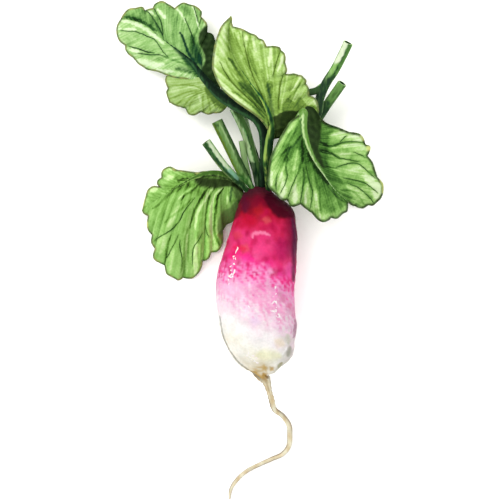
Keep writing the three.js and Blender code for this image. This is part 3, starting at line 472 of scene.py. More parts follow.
LEAF_LOWER_LEFT = {
    "stalk": (1.1, 1.1), "blade": "blade_fresh_green", "rind": "stalk_olive_green",
    "rib": [foot(2, -1.5), (-4.9, 28.4, 10), (-8.2, 30, 11.8), (-12.1, 30.6, 13.4),
        (-15.7, 29.8, 13.8), (-19.3, 28.1, 13), (-23.2, 25.7, 10.6), (-27.3, 23.4, 6),
        (-31.4, 20.5, 1.2)],
    "halves": [
        {
            "span": (1.1, 8), "ripple": 0.4, "crown": 2.4, "fan": 1.9, "tone": (0.5, 0.6),
            "margin": [
                [(-3.5, 26.9, 8.8), (-2.9, 24.3, 5.8), (-4.2, 20.8, 3.8), (-5.4, 18.4, 2.4),
                    (-6.4, 17.2, 1.8), (-7.8, 16.6, 1.4), (-8.8, 15.1, 1.1), (-10.1, 13.8, 0.9)],
                [(-9.2, 12.8, 0.8), (-8.9, 11.8, 0.8), (-9.5, 10.1, 0.7), (-10.6, 9, 0.7),
                    (-12.1, 8.85, 0.7)],
                [(-12.8, 7.2, 0.6), (-13.7, 6.5, 0.6), (-14.6, 6.5, 0.5)],
                [(-14.8, 4.9, 0.4), (-15.7, 3.1, 0.4), (-17.3, 1.6, 0.3), (-19, 1.5, 0.3),
                    (-20, 1.7, 0.3)],
                [(-21.3, 0.95, 0.3), (-22.6, 1.6, 0.3), (-23.9, 2.3, 0.3), (-24.7, 2.9, 0.3),
                    (-25.2, 5.2, 0.3)],
                [(-26.5, 5.8, 0.3), (-28, 6.7, 0.3), (-28.4, 8, 0.3), (-27.9, 9.8, 0.3)],
                [(-28.9, 11.6, 0.3), (-28.7, 13.7, 0.3)],
                [(-29.8, 15, 0.3), (-30.1, 16.8, 0.4), (-29.8, 19, 0.6)],
                [(-31.1, 19.7, 0.9), (-31.4, 20.5, 1.2)],
            ],
        },
        {
            "span": (2.4, 8), "ripple": 0.3, "crown": 0.8, "fan": 1.3, "tone": (0.5, 0.6),
            "margin": [
                [(-10.4, 31.2, 12), (-14, 31.2, 12.4), (-16.2, 30.9, 12), (-20.3, 31.5, 10.2),
                    (-22.1, 31.7, 9)],
                [(-23.5, 32.6, 8.2), (-25.2, 32, 7), (-25.9, 30.9, 6.4), (-25.9, 29.7, 6)],
                [(-27, 28.8, 5.2), (-27.1, 27.8, 4.8), (-26.6, 27.1, 4.8)],
                [(-28.4, 27.2, 3.8), (-29.8, 26.2, 2.8), (-30.4, 24.5, 2), (-31, 22.5, 1.4),
                    (-31.4, 20.5, 1.2)],
            ],
        },
    ],
    "veins": [
        (0.16, [(-28.3, 11.8), (-26.7, 13.1), (-24.4, 14.4), (-22.6, 15.8), (-21.1, 17.5),
            (-19.7, 20.3), (-18.3, 22.1), (-16.7, 24.2)]),
        (0.12, [(-21.4, 13.7), (-22.3, 11.6), (-23.7, 9), (-24.6, 7.2)]),
        (0.12, [(-20.9, 13), (-20.9, 10), (-20.4, 7.6), (-20.4, 4.8)]),
        (0.12, [(-14.6, 14.2), (-15.7, 12.1), (-16.9, 10.5), (-17.4, 8.1), (-17.4, 4.8)]),
        (0.1, [(-13.8, 16.1), (-13.5, 14.7), (-12.8, 13)]),
    ],
    "washes": [
        (-0.28, 0.35, [(-15, 28.5), (-16.2, 27.3), (-17.6, 26.1), (-19.5, 24.9), (-20.4, 23.5)]),
        (-0.38, 0.35, [(-12.5, 27.3), (-13.9, 25.9), (-15, 24), (-16, 22.1), (-16.9, 20.3),
            (-17.6, 17.9), (-18.1, 15.8)]),
        (-0.3, 0.35, [(-11.1, 27.1), (-12.3, 25.2), (-13, 23.1), (-13.4, 20.7), (-13.7, 17.9),
            (-13.9, 16.1)]),
        (-0.42, 0.35, [(-8.8, 26.8), (-10, 25.2), (-10.6, 23.1), (-10.9, 20.3), (-11.2, 17.5),
            (-11.2, 14.7), (-10.5, 12.3), (-9.9, 10.9)]),
        (-0.28, 0.3, [(-23.4, 13.7), (-24.4, 10.7), (-24.9, 7.2), (-25, 5.6)]),
        (-0.22, 0.3, [(-18.6, 15.8), (-19.5, 12.8), (-19.7, 9.5), (-20, 6), (-20.8, 3)]),
        (-0.2, 0.4, [(-20.4, 26.6), (-23.5, 25.2), (-25.8, 23), (-28.4, 21)]),
        (-0.2, 0.4, [(-19.5, 28), (-21.4, 27.2), (-23.7, 25.9)]),
        (-0.2, 0.35, [(-17.4, 24), (-20.4, 21), (-23.2, 18.9), (-25.3, 17)]),
        (-0.2, 0.3, [(-15.9, 14.5), (-16.2, 11), (-15.9, 8), (-15.6, 5.5)]),
        (-0.15, 0.3, [(-18.3, 14), (-18.6, 10), (-18.5, 6)]),
        (0.38, 0.45, [(-11.8, 26.6), (-13.7, 24.2), (-15, 21.9), (-16.2, 19.1), (-16.6, 15.4)]),
        (0.42, 0.35, [(-9, 27), (-11.1, 24.9), (-12, 22.1), (-12.4, 18.4), (-12, 14.7),
            (-11.1, 11.4)]),
        (0.3, 0.3, [(-7.6, 24.6), (-7.8, 22.3)]),
        (0.25, 0.3, [(-17, 26.9), (-19, 25.8), (-21.3, 23.9)]),
        (0.16, 1.2, [(-25.6, 13.4), (-26.6, 9)]),
        (0.28, 0.6, [(-16.3, 12.5), (-16.4, 7), (-16.6, 2.6)]),
        (0.2, 0.8, [(-20.8, 21.8), (-22.7, 19), (-24.3, 16.2)]),
        (0.18, 0.7, [(-22.8, 9.5), (-23.5, 3.2)]), (0.2, 0.4, [(-18.9, 14), (-19.1, 9), (-19, 3)]),
        (-0.16, 1.3, [(-24.5, 27.4), (-18.5, 27.4)]), (0.16, 1.4, [(-11.6, 22), (-12.2, 9)]),
        (0.1, 1.3, [(-16.5, 11), (-16.8, 5)]), (0.08, 1.4, [(-26.4, 16), (-25.8, 11)]),
        (0.15, 0.8, [(-13.2, 9.5), (-13.2, 7.5)]), (0.2, 0.6, [(-10.6, 10.8), (-11.6, 9.6)]),
        (-0.28, 0.5, [(-16, 29.6), (-19, 29.2), (-21.5, 28.8)]),
        (-0.15, 1.4, [(-18.5, 28), (-15.5, 25.8), (-14.4, 24)]),
        (-0.15, 0.8, [(-16.5, 30.3), (-20, 30), (-22.5, 29.4)]),
        (-0.3, 0.7, [(-16.5, 30.5), (-13, 30.7), (-9.5, 30.4)]),
        (0.3, 0.7, [(-25, 29.5), (-22.6, 29.9)]), (0.45, 0.7, [(-28.9, 25.9), (-27.4, 26.6)]),
        (0.2, 0.5, [(-24.6, 31.8), (-23, 31.9)]),
    ],
    "deep": [
        (0.7, 0.35, [(-6.4, 27), (-6.7, 24.9), (-6.9, 22.9)]),
        (0.35, 0.5, [(-4.9, 26.4), (-5.4, 24.2)]),
    ],
    "yellowed": [
        (0.5, 0.3, [(-30.4, 24.7), (-31.3, 21.6), (-31.5, 20.5)]),
        (0.5, 0.3, [(-30.1, 17.5), (-30, 15.8)]),
    ],
    "shaded": [
        (0.95, 0.35, [(-15.6, 30.4), (-13.8, 30), (-10, 29.7), (-7.5, 29.3), (-5.5, 28.3),
            (-3.8, 27), (-2.2, 25.4), (-3.7, 25.6), (-5.5, 26.9), (-8, 27.2), (-11, 26.7),
            (-13.5, 26.9), (-15.6, 27.4), (-16.9, 28.9)]),
    ],
    # Painted light: the blade is paler here, where the root keeps the light off.
    "lifted": [
        (1, 2.5, [(-9.5, 14), (-14.5, 13.5), (-16, 2), (-12, 4), (-8, 10)]),
        (0.4, 2, [(-3, 23), (-9, 25), (-15, 20), (-16, 14), (-9, 12), (-7, 12)]),
    ],
    # Painted shade beside the root, in a grey green.
    "greyed": [
        (0.7, 0.3, [(-4.1, 23.7), (-5.5, 23.1), (-7.1, 21.4), (-8.8, 20.3), (-10, 18.6),
            (-10.4, 16.5), (-10.5, 15.1), (-9.9, 13.9), (-8.4, 14.6), (-5, 16.5), (-2, 20),
            (-2, 24)]),
    ],
}

LEAVES = {
    "leaf_upper_left": LEAF_UPPER_LEFT,
    "leaf_top": LEAF_TOP,
    "leaf_right": LEAF_RIGHT,
    "leaf_lower_left": LEAF_LOWER_LEFT,
}

# path: from the foot on the crown to the cut end. turn: how far the pale ridge, a painted
# highlight, is turned round the stalk, in degrees. hollow: how deep the pith has sunk at the cut.
# coats: long strokes laid along it as seen from above, each as colour, strength, place from the
# left side (-1) to the right side (1), half width on the same scale, and the shares of the way
# where it runs. The dark coats are painted shade, at the foot, under the leaves and by the cut
# ends, and the palest ones painted highlights.
CUT_STALKS = {
    "cut_stalk_left_low": {
        "radius": (1.15, 1.3), "turn": 40, "hollow": 0.5, "rind": "stalk_mid_green",
        "path": [foot(0, -1.5), (-3.9, 28, 12.9), (-8.65, 32.8, 14.4), (-13.4, 39.3, 15.4)],
        "coats": [("173519", 0.85, -0.3, 1, 0, 0.5), ("25442a", 0.85, -0.8, 0.5, 0.5, 1.1),
            ("d2e4c0", 0.85, 0.4, 0.45, 0.55, 1.1), ("8ac0a4", 0.7, 0.3, 0.5, 0.42, 0.62),
            ("8aa860", 0.5, -1, 0.25, 0.45, 0.75), ("14301c", 0.8, -0.2, 0.4, 0.95, 0.99)],
    },
    "cut_stalk_left_high": {
        "radius": (1.45, 1.55), "turn": -40, "hollow": 0.7, "rind": "stalk_mid_green",
        "path": [foot(0, -0.5), (-3.9, 31.9, 14.4), (-6.8, 37.8, 15.4), (-10.35, 45, 16)],
        "coats": [("64884a", 0.8, -0.15, 0.6, 0.25, 1.1), ("3c5a30", 0.85, 0.6, 0.4, 0.2, 1.1),
            ("667c24", 0.75, -0.85, 0.25, 0.3, 1.1), ("29561b", 0.7, -0.3, 0.5, 0, 0.3),
            ("16301a", 0.8, -0.45, 0.45, 0.92, 0.99), ("a8c890", 0.6, 0.25, 0.15, 0.6, 0.97)],
    },
    "young_stalk": {
        "radius": (1, 0.8), "turn": 0, "hollow": 0.05, "rind": "stalk_olive_green",
        "path": [foot(1, -1), (-2, 30.5, 10.8), (-2.8, 34.3, 11.2), (-3.7, 39.6, 12)],
        "coats": [("b4dc98", 0.85, 0.1, 0.9, 0.2, 1.1)],
    },
    "stalk_behind_left": {
        "radius": (1.4, 1.3), "turn": 0, "hollow": 0.4, "rind": "stalk_pale_ridge",
        "path": [foot(1, 0), (0.4, 31.5, 10.2), (-0.8, 35.7, 9.9), (-2.1, 40.6, 9.5),
            (-3.8, 44.8, 9.2), (-5.8, 48.7, 8.6)],
        "coats": [("13311b", 0.85, 0, 1.2, 0, 0.32), ("c4e6aa", 0.85, -0.25, 0.35, 0.3, 0.6),
            ("92ae75", 0.8, -0.55, 0.35, 0.5, 0.85), ("486c37", 0.75, 0.1, 0.5, 0.7, 1.1),
            ("547a40", 0.8, 0.65, 0.4, 0.2, 1.1)],
    },
    "stalk_behind_right": {
        "radius": (0.7, 0.6), "turn": 60, "hollow": 0.3, "rind": "stalk_pale_ridge",
        "path": [foot(2, 0.5), (0.9, 34, 7.4), (-0.75, 39.4, 6.9), (-2.15, 44.8, 6.6),
            (-2.7, 48.1, 6.4)],
        "coats": [("13311b", 0.9, 0, 1.2, 0, 0.45), ("b4d4a4", 0.85, 0, 1, 0.4, 1.1)],
    },
    "cut_stalk_right_long": {
        "radius": (1.12, 1.4), "turn": 0, "hollow": 1.8, "rind": "stalk_mid_green",
        "path": [foot(2, 1.5), (8.6, 33, 7), (14.2, 42, 7.2), (17.4, 47.5, 7.8), (18, 51.5, 8.3),
            (19.65, 55.6, 9.2), (22.1, 59.4, 10.2), (24.3, 63.6, 11.4), (25.8, 66.8, 12.45)],
        "side": [(19, 54.8, 9), (17.2, 53.6, 8.8), (15, 53.1, 8.9)],
        "coats": [("2c4632", 0.9, 0, 1.3, 0, 0.69), ("a0d070", 0.6, -0.3, 0.5, 0.72, 0.88),
            ("f4ffe2", 0.9, -0.35, 0.6, 0.8, 1.1), ("5c8a44", 0.7, 0.75, 0.35, 0.7, 1.1)],
    },
    "cut_stalk_right_short": {
        "radius": (1.15, 1.3), "turn": 20, "hollow": 0.5, "rind": "stalk_mid_green",
        "path": [foot(3, 0.5), (7.2, 33, 4.6), (13.8, 40.6, 4.2), (18.3, 47, 5), (20.2, 50, 6),
            (21.9, 52.4, 7.2), (24.3, 55.8, 8.6)],
        "coats": [("3a5c3e", 0.85, 0, 1.3, 0, 0.7), ("7aac5c", 0.8, 0, 1.2, 0.7, 1.1),
            ("1c4020", 0.5, 0.85, 0.25, 0.6, 1.1), ("173018", 0.5, 0, 0.4, 0.84, 0.9)],
    },
}

# Long strokes along the stalks and middle ribs of the leaves, as for the cut stalks: the dark
# ones are painted shade, at the feet and under the leaves above, and the palest ones painted
# highlights.
RIB_COATS = {
    "leaf_upper_left": [("16261b", 0.85, 0.3, 0.9, 0, 0.62),
        ("3d6a3e", 0.5, -0.7, 0.25, 0.2, 0.6)],
    "leaf_top": [("183620", 0.85, 0.45, 0.75, 0, 0.42), ("90ac58", 0.6, -0.6, 0.25, 0.2, 0.42),
        ("1c3c20", 0.75, -0.5, 0.7, 0, 0.17)],
    "leaf_right": [("1c3a22", 0.7, 0, 1.2, 0, 0.2), ("66983e", 0.9, -0.6, 0.7, 0.25, 0.75),
        ("4a7a38", 0.8, 0.8, 0.45, 0.2, 0.75), ("c8e6a0", 0.7, 0.25, 0.2, 0.25, 0.8)],
    "leaf_lower_left": [("1c3a22", 0.8, 0, 1.2, 0, 0.12), ("48702c", 0.75, 0.4, 0.6, 0.12, 0.55),
        ("22381a", 0.8, -0.7, 0.5, 0.1, 0.5)],
}

# Blades from their darkest folds and painted shade to their palest streaks and painted
# highlights, in even steps.
BLADE_GREENS = {
    "blade_mid_green": ("132f13", "36662f", "6c9c52", "96c674", "bae198", "e7fed2"),
    "blade_yellow_green": ("2e4c1f", "527633", "7da244", "9fc662", "c3e690", "e8fcc4"),
    "blade_deep_green": ("16300f", "3d6b29", "629640", "8cc062", "b8e48a", "e8ffcc"),
    "blade_fresh_green": ("22380f", "5a8833", "7db150", "98cc6c", "b4e286", "d8f8b0"),
}

BLADE_SHADES = {
    "blade_mid_green": "1f3418", "blade_yellow_green": "1d2d14", "blade_deep_green": "223617",
    "blade_fresh_green": "1c2612",
}

UNDERSIDE_GREENS = [(0, "597934"), (0.3, "8db053"), (0.6, "aed082"), (1, "d8efb8")]

VEIN_GREENS = {
    "blade_mid_green": ("1c4428", "4b7a44"), "blade_yellow_green": ("4a6a22", "86a53e"),
    "blade_deep_green": ("2f5a26", "649a4c"), "blade_fresh_green": ("2c541f", "6a9a3e"),
}

# Rinds: the dark flank, painted shade in the grooves, the mid green, and the pale ridge, a
# painted highlight.
STALK_GREENS = {
    "stalk_deep_green": ("0e2018", "1d3b28", "3d6a3e"),
    "stalk_yellow_green": ("1f4a34", "5d9440", "b6d466"),
    "stalk_pale_rib": ("4a8040", "a4cc80", "d4f0b8"),
    "stalk_olive_green": ("27401a", "5f8f3a", "a4cc72"),
    "stalk_mid_green": ("1c4a26", "5a9448", "a8d488"),
    "stalk_pale_ridge": ("153a26", "5c9a4c", "d0f0bc"),
}

# The root's colours from the crown down, at distances from it in mm.
SKIN_BANDS = [(0, "501c2c"), (4, "760820"), (7, "b01230"), (10, "d8265a"), (13, "e6387a"), (16,
    "ea3476"), (19, "f23488"), (22, "f976bc"), (25, "fcaada"), (28, "f7acd3"), (31, "f8c0de"), (34,
    "fcdaf0"), (37, "fae4f0"), (40, "fefafc"), (45, "fefdf4"), (49.8, "e6dcc0"), (51, "c8a45c"),
    (52.5, "a8843c")]

# Patches where the red lies thicker or thinner, with painted shade and painted highlights among
# them, as marked: colour, strength, half width, line as seen.
SKIN_PATCHES = [
    ("8a0a30", 0.6, 2.5, [(1, 24.5), (1.6, 21.5)]),
    # Painted shade across the top of the crown, under the stalks.
    ("44222c", 0.5, 1.2, [(-2.4, 25), (0.8, 25.8), (4, 24.6)]),
    # Painted light, paler pink on the right flank.
    ("ff60b8", 0.6, 1.1, [(9.8, 5.5), (9.9, 2)]),
    ("5a1230", 0.8, 1.4, [(-3.6, 24.6), (-3, 22.5), (-2.6, 20.5)]),
    # Painted shadow of the lower left leaf on the crown's left flank.
    ("5a2030", 0.8, 1, [(-4.8, 21.4), (-5.7, 18.4)]),
    ("b81c1c", 0.45, 1.7, [(0.6, 20.6), (2, 20.2)]),
    ("c4062e", 0.6, 1.8, [(-5, 16.2), (-2.5, 17), (0, 17.6)]),
    ("e4405a", 0.7, 1.3, [(-5.4, 14), (-4, 13.4)]),
    ("e4585e", 0.6, 1.3, [(-3.4, 10.2), (-2, 9.6)]),
    ("ee7a6a", 0.28, 0.9, [(2.6, 18), (4.2, 17.6)]), ("f84a90", 0.7, 2.4, [(2, 10.8), (1.6, 7.6)]),
    ("d81c62", 0.6, 0.4, [(-0.8, 12), (-1, 9.5), (-0.4, 7)]),
    ("ff8cb8", 0.8, 0.5, [(-0.7, 12.9), (-0.2, 14), (1.2, 14.3), (2.8, 14.2), (4.1, 13.6)]),
    ("b01058", 0.6, 2, [(7.4, 12), (7.6, 7.5)]), ("ff1e96", 0.6, 1, [(-3.2, 7.2), (-0.4, 6.8)]),
    ("f8207c", 0.6, 1.2, [(-6.8, 7.8), (-4.6, 7.6)]),
    ("e81450", 0.6, 0.7, [(-5.8, 10.2), (-2.6, 9.8)]),
    ("ff80cc", 0.8, 0.6, [(-3, 4.6), (-2.4, 4.4)]), ("ff9ad0", 0.6, 0.6, [(2.2, 5.6), (2.7, 5.4)]),
    ("ffb0e0", 0.8, 1.1, [(3.9, 3.5), (4.7, 3.3)]), ("f0409a", 0.7, 0.9, [(6.9, 2.9), (7.4, 2.4)]),
    ("fa60b0", 0.6, 1.2, [(1.2, -0.6), (1.9, -1)]),
    ("f0509a", 0.7, 0.8, [(9.2, -1.2), (9.6, -1.9)]),
    ("e8609a", 0.6, 0.8, [(9.6, -5.8), (9.8, -6.6)]),
    ("d82080", 0.7, 0.6, [(10.8, -0.2), (11, -1.8)]),
    ("ffc8e8", 0.7, 2.2, [(-8.5, -1.4), (-3.5, -2.2)]),
    ("d86a9a", 0.5, 1, [(7.8, -3.4), (8.2, -4.8)]),
    ("c8889c", 0.5, 0.6, [(6.8, -2.6), (7.2, -3.4)]),
    ("d880a8", 0.6, 0.8, [(10.8, -6.8), (11, -9.2)]),
    # Painted shade down the lower right flank.
    ("9a6a80", 0.7, 0.5, [(11.5, -10), (11.4, -12.5), (10.9, -15)]),
    ("f49ac8", 0.6, 0.35, [(2.5, -4.3), (2, -6.7), (2.9, -9.2), (3.6, -11.8)]),
    ("f0d4f4", 0.6, 1.6, [(-0.6, -10.2), (0.8, -10.6)]),
    ("ecdcc0", 0.7, 1.4, [(6.2, -16), (7.8, -17)]),
    # Painted shade on the lower right flank.
    ("c8c8b8", 0.8, 0.9, [(9.3, -14.4), (9.5, -16.6)]),
    ("9a9c8c", 0.8, 0.7, [(9.9, -17.8), (9.3, -20.2)]),
    # A painted highlight.
    ("ffffff", 0.8, 0.3, [(7.6, -20), (8.4, -19), (9.1, -17.8)]),
    ("8a8a50", 0.7, 0.5, [(7.6, -22.2), (6.6, -23.3)]),
    ("f4f4c8", 0.7, 1.6, [(1.2, -19.8), (6.8, -20.2)]),
    ("c9a85c", 0.8, 0.9, [(2.6, -23.8), (3.2, -23.6)]),
    ("c0983e", 0.8, 0.8, [(4.6, -24), (5, -23.6)]), ("b8903a", 0.9, 0.9, [(2.5, -25.3), (3, -26)]),
    ("8a6420", 0.9, 0.5, [(3.1, -25.8), (3.7, -26.4)]),
    # Painted shade down the right edge.
    ("4a0a3a", 0.8, 0.7, [(10.6, 18), (11.2, 13.5), (11, 6.9), (10.9, 0.8)]),
    ("8a8a80", 0.8, 0.22, [(-9.8, -9), (-9.2, -12.5), (-8.65, -15), (-7.1, -18.5)]),
    ("8a8a80", 0.8, 0.22, [(-7.1, -18.5), (-5, -21.4), (-3.15, -23.1), (-0.8, -24.8)]),
    ("8a8a80", 0.8, 0.25, [(-0.8, -24.8), (1.05, -26.2), (2.2, -27.4)]),
]

# Shades on the skin under the leaves: colour, strength, softness of the edge, outline as seen.
SKIN_SHADES = [
    ("42061c", 0.9, 0.6, [(2.9, 24.6), (3, 23), (3.85, 21.6), (4.8, 20.2), (5.95, 19), (7.1, 18.5),
        (9.45, 18.4), (11.8, 18.5), (11, 22), (6, 26)]),
]

# Pale corky marks on the skin, white as painted highlights, each a short line as seen, in three
# trails.
SKIN_MARKS = [
    [(-6.2, 11), (-6.6, 10.2), (-6.9, 9.5)], [(-7.7, 8.4), (-7.5, 8.2)],
    [(-7.3, 7.6), (-7.1, 7.6)], [(-6.4, 7.4), (-6.2, 7.4)], [(-6.7, 5.9), (-6.3, 5.7)],
    [(-8.5, 5.1), (-8.3, 5.1)], [(-7.9, 4.1), (-7.7, 3.9)],
    [(-6, 3.8), (-6.5, 2.9), (-7.5, 2.7), (-8.3, 2.1), (-7.4, 1.8), (-6.6, 2.2)],
    [(-9.2, 2.5), (-9, 2.5)], [(-8.8, 1.2), (-8.6, 1)], [(-8.6, 0.2), (-8.4, 0.2)],
    [(5.9, -0.9), (6, -1.2)], [(6.3, -2.9), (6.5, -2.9)], [(5.3, -3.6), (5.5, -3.6)],
    [(4.7, -5.6), (5.6, -4.9), (6.4, -5.2)], [(6.3, -6.6), (6.5, -6.7)],
    [(4.3, -7.6), (5.5, -7.8), (6.3, -7.4)], [(6.3, -9.1), (6.5, -9.1)],
    [(7.2, -8.5), (7.9, -9.2), (7.1, -9.3)], [(8.4, -9.6), (8.6, -9.6)],
    [(7.4, -10.6), (7.6, -10.6)], [(-1.4, -6.5), (-1.2, -6.5)], [(-3.1, -21.3), (-2.9, -21.5)],
    [(-2.3, -20.1), (-2.1, -20.3)], [(-2.1, -21.7), (-1.9, -21.9)], [(-0.7, -20.9), (-0.5, -21.1)],
    [(0.2, -21.7), (0.5, -21.9)], [(-0.6, -23.7), (0, -24.1), (0.6, -24.4)],
    [(-1.6, -23), (-1.4, -23)],
]


# ------------------------------------------------------------------ sums


def spline(points, share):
    """Points on a smooth curve through the given ones, at shares of the way along it."""
    points = np.asarray(points, float)
    last = len(points) - 1
    padded = np.vstack([2 * points[0] - points[1], points, 2 * points[-1] - points[-2]])
    at = np.clip(np.asarray(share, float), 0, 1) * last
    first = np.minimum(at.astype(int), last - 1)
    w = (at - first)[..., None]
    before, start, end, after = (padded[first + k] for k in range(4))
    leave = (end - before) / 2
    arrive = (after - start) / 2
    cubic = 2 * start - 2 * end + leave + arrive
    square = 3 * end - 3 * start - 2 * leave - arrive
    return ((cubic * w + square) * w + leave) * w + start


def smoothstep(value, low, high):
    """0 below low, 1 above high and smooth between them, or the other way round."""
    share = np.clip((value - low) / (high - low), 0, 1)
    return share * share * (3 - 2 * share)


def unit(vectors):
    return vectors / np.linalg.norm(vectors, axis=-1, keepdims=True)


def run_along(points):
    """How far along a line of points each of them lies."""
    steps = np.linalg.norm(np.diff(points, axis=0), axis=1)
    return np.concatenate([[0], np.cumsum(steps)])


def bulge(share):
    """0 at both ends of a line and 1 in its middle, with blunt ends."""
    return np.sin(math.pi * share) ** 0.5


def wander(points, size, seed, waves=7):
    """A smooth random field between about -1 and 1, whose hills are about `size` apart."""
    random = np.random.default_rng(seed)
    points = np.asarray(points, float)
    directions = unit(random.normal(size=(waves, points.shape[-1])))
    directions *= random.uniform(0.7, 1.4, (waves, 1)) * 2 * math.pi / size
    phases = random.uniform(0, 2 * math.pi, waves)
    return np.sin(points @ directions.T + phases).sum(-1) / math.sqrt(waves)


def sections(centre, direction):
    """The side and top vectors of sections that turn as little as they can on the way."""
    top = np.empty_like(centre)
    now = np.array([0.0, 0.0, 1.0])
    for i, facing in enumerate(direction):
        now = unit(now - facing * now.dot(facing))
        top[i] = now
    return np.cross(top, direction), top


def linear(hex_colour):
    """An sRGB hex colour as linear red, green, blue and alpha."""
    channels = [int(hex_colour[i : i + 2], 16) / 255 for i in (0, 2, 4)]
    return (*[c / 12.92 if c <= 0.04045 else ((c + 0.055) / 1.055) ** 2.4 for c in channels], 1)


def pigment(hex_colour):
    """The base colour that looks like an sRGB hex colour under the stage's light."""
    *light, alpha = linear(hex_colour)
    return (*[channel / LIGHT_LEVEL for channel in light], alpha)


# ------------------------------------------------------------------ meshes and pieces


def root_surface(share, angle, swell=0.0):
    """Points of the root's skin, in mm, at shares of its length and angles from the top."""
    stations = spline(ROOT_STATIONS, share)
    centre, radius = stations[:, :3], stations[:, 3]
    last = len(ROOT_STATIONS) - 1
    tangent = unit(np.gradient(centre, axis=0))
    bent = smoothstep(share * last, *TAPROOT_BENDS)[:, None]
    direction = unit((1 - bent) * np.array([0.0, -1.0, 0.0]) + bent * tangent)
    side, top = sections(centre, direction)
    ring = side[:, None] * np.sin(angle)[..., None] + top[:, None] * np.cos(angle)[..., None]
    return centre[:, None] + ring * (radius[:, None] + swell)[..., None]


def frame_offset():
    """What the design numbers are moved by, in mm, so that they meet the frame."""
    share = np.linspace(0, 1, FRAME_RINGS * (len(ROOT_STATIONS) - 1) + 1)
    angle = np.linspace(0, 2 * math.pi, FRAME_SIDES)[None, :].repeat(len(share), 0)
    skin = root_surface(share, angle)
    middle = (skin.min((0, 1)) + skin.max((0, 1))) / 2
    low, high = (np.array(corner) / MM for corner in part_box("root"))
    offset = (low + high) / 2 - middle
    offset[2] = 0
    return offset


OFFSET = frame_offset()


def placed(points):
    """Design points in mm as points of the frame in metres, none of them under the surface."""
    points = (np.asarray(points, float).reshape(-1, 3) + OFFSET) * MM
    points[:, 2] = np.maximum(points[:, 2], 0)
    return points


def linked(name, data):
    """A new object in the scene."""
    made = bpy.data.objects.new(name, data)
    bpy.context.collection.objects.link(made)
    return made


def drawn_mesh(name, points, edges, faces, masks):
    """A mesh object from design points, with a number or colour per point in each mask."""
    mesh = bpy.data.meshes.new(name)
    mesh.from_pydata(placed(points).tolist(), edges, faces)
    store(mesh, masks)
    return linked(name, mesh)


def store(mesh, masks):
    """Keeps a number or a colour for each point of a mesh, under each mask's name."""
    for mask, values in masks.items():
        flat = np.ascontiguousarray(values, np.float32)
        kind, field = ("FLOAT_COLOR", "color") if flat.ndim == 2 else ("FLOAT", "value")
        mesh.attributes.new(mask, kind, "POINT").data.foreach_set(field, flat.ravel())


def smooth_piece(name, points, faces, masks, material):
    """A smooth closed mesh object with its material."""
    made = drawn_mesh(name, points, [], faces, masks)
    mesh = made.data
    mesh.polygons.foreach_set("use_smooth", [True] * len(mesh.polygons))
    mesh.materials.append(material)
    mesh.validate()
    return made


def joined(name, pieces):
    """Several mesh objects made one, under one name."""
    first = pieces[0]
    chosen = {"selected_objects": pieces, "selected_editable_objects": pieces}
    with bpy.context.temp_override(active_object=first, object=first, **chosen):
        bpy.ops.object.join()
    first.name = name
    first.data.name = name
    return first


def grown(made, tree, values):
    """An object put through a Geometry Nodes tree with these inputs, as a plain mesh again."""
    modifier = made.modifiers.new(tree.name, "NODES")
    modifier.node_group = tree
    for item in tree.interface.items_tree:
        if item.item_type == "SOCKET" and item.in_out == "INPUT" and item.name in values:
            modifier[item.identifier] = values[item.name]
    graph = bpy.context.evaluated_depsgraph_get()
    mesh = bpy.data.meshes.new_from_object(made.evaluated_get(graph), depsgraph=graph)
    if not mesh.polygons:
        raise RuntimeError(f"{made.name} came out empty")
    made.modifiers.clear()
    made.data = mesh
    return made


def dressed(piece, slot, *nodes):
    """A finished piece rides on the body and stands for its nodes; the slot is not used."""
    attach(piece, BODY)
    if nodes:
        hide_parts(*nodes)
    return piece


# ------------------------------------------------------------------ nodes


def add(tree, kind, inputs=None, stops=(), **settings):
    """Adds a node with its settings; an input is a value, an output, or a node's first output."""
    node = tree.nodes.new(kind)
    for i, (place, colour) in enumerate(stops):
        elements = node.color_ramp.elements
        element = elements[i] if i < 2 else elements.new(place)
        element.position = place
        element.color = pigment(colour)
    for name, value in settings.items():
        setattr(node, name, value)
    for socket, value in (inputs or {}).items():
        if isinstance(value, bpy.types.Node):
            value = value.outputs[0]
        if isinstance(value, bpy.types.NodeSocket):
            tree.links.new(value, node.inputs[socket])
        else:
            node.inputs[socket].default_value = value
    return node


def new_tree(name, sockets):
    """An empty Geometry Nodes tree with a mesh in, a mesh out and named inputs."""
    tree = bpy.data.node_groups.new(name, "GeometryNodeTree")
    for socket, kind in {"Geometry": "Geometry", **sockets}.items():
        tree.interface.new_socket(name=socket, in_out="INPUT", socket_type=f"NodeSocket{kind}")
    tree.interface.new_socket(name="Geometry", in_out="OUTPUT", socket_type="NodeSocketGeometry")
    return tree, add(tree, "NodeGroupInput").outputs


def ended(tree, geometry, material):
    """Ends a tree: what it makes is smooth, real and of one material."""
    smooth = add(tree, "GeometryNodeSetShadeSmooth", {0: geometry})
    whole = add(tree, "GeometryNodeRealizeInstances", {0: smooth})
    finish = add(tree, "GeometryNodeSetMaterial", {0: whole, "Material": material})
    add(tree, "NodeGroupOutput", {0: finish})
    return tree


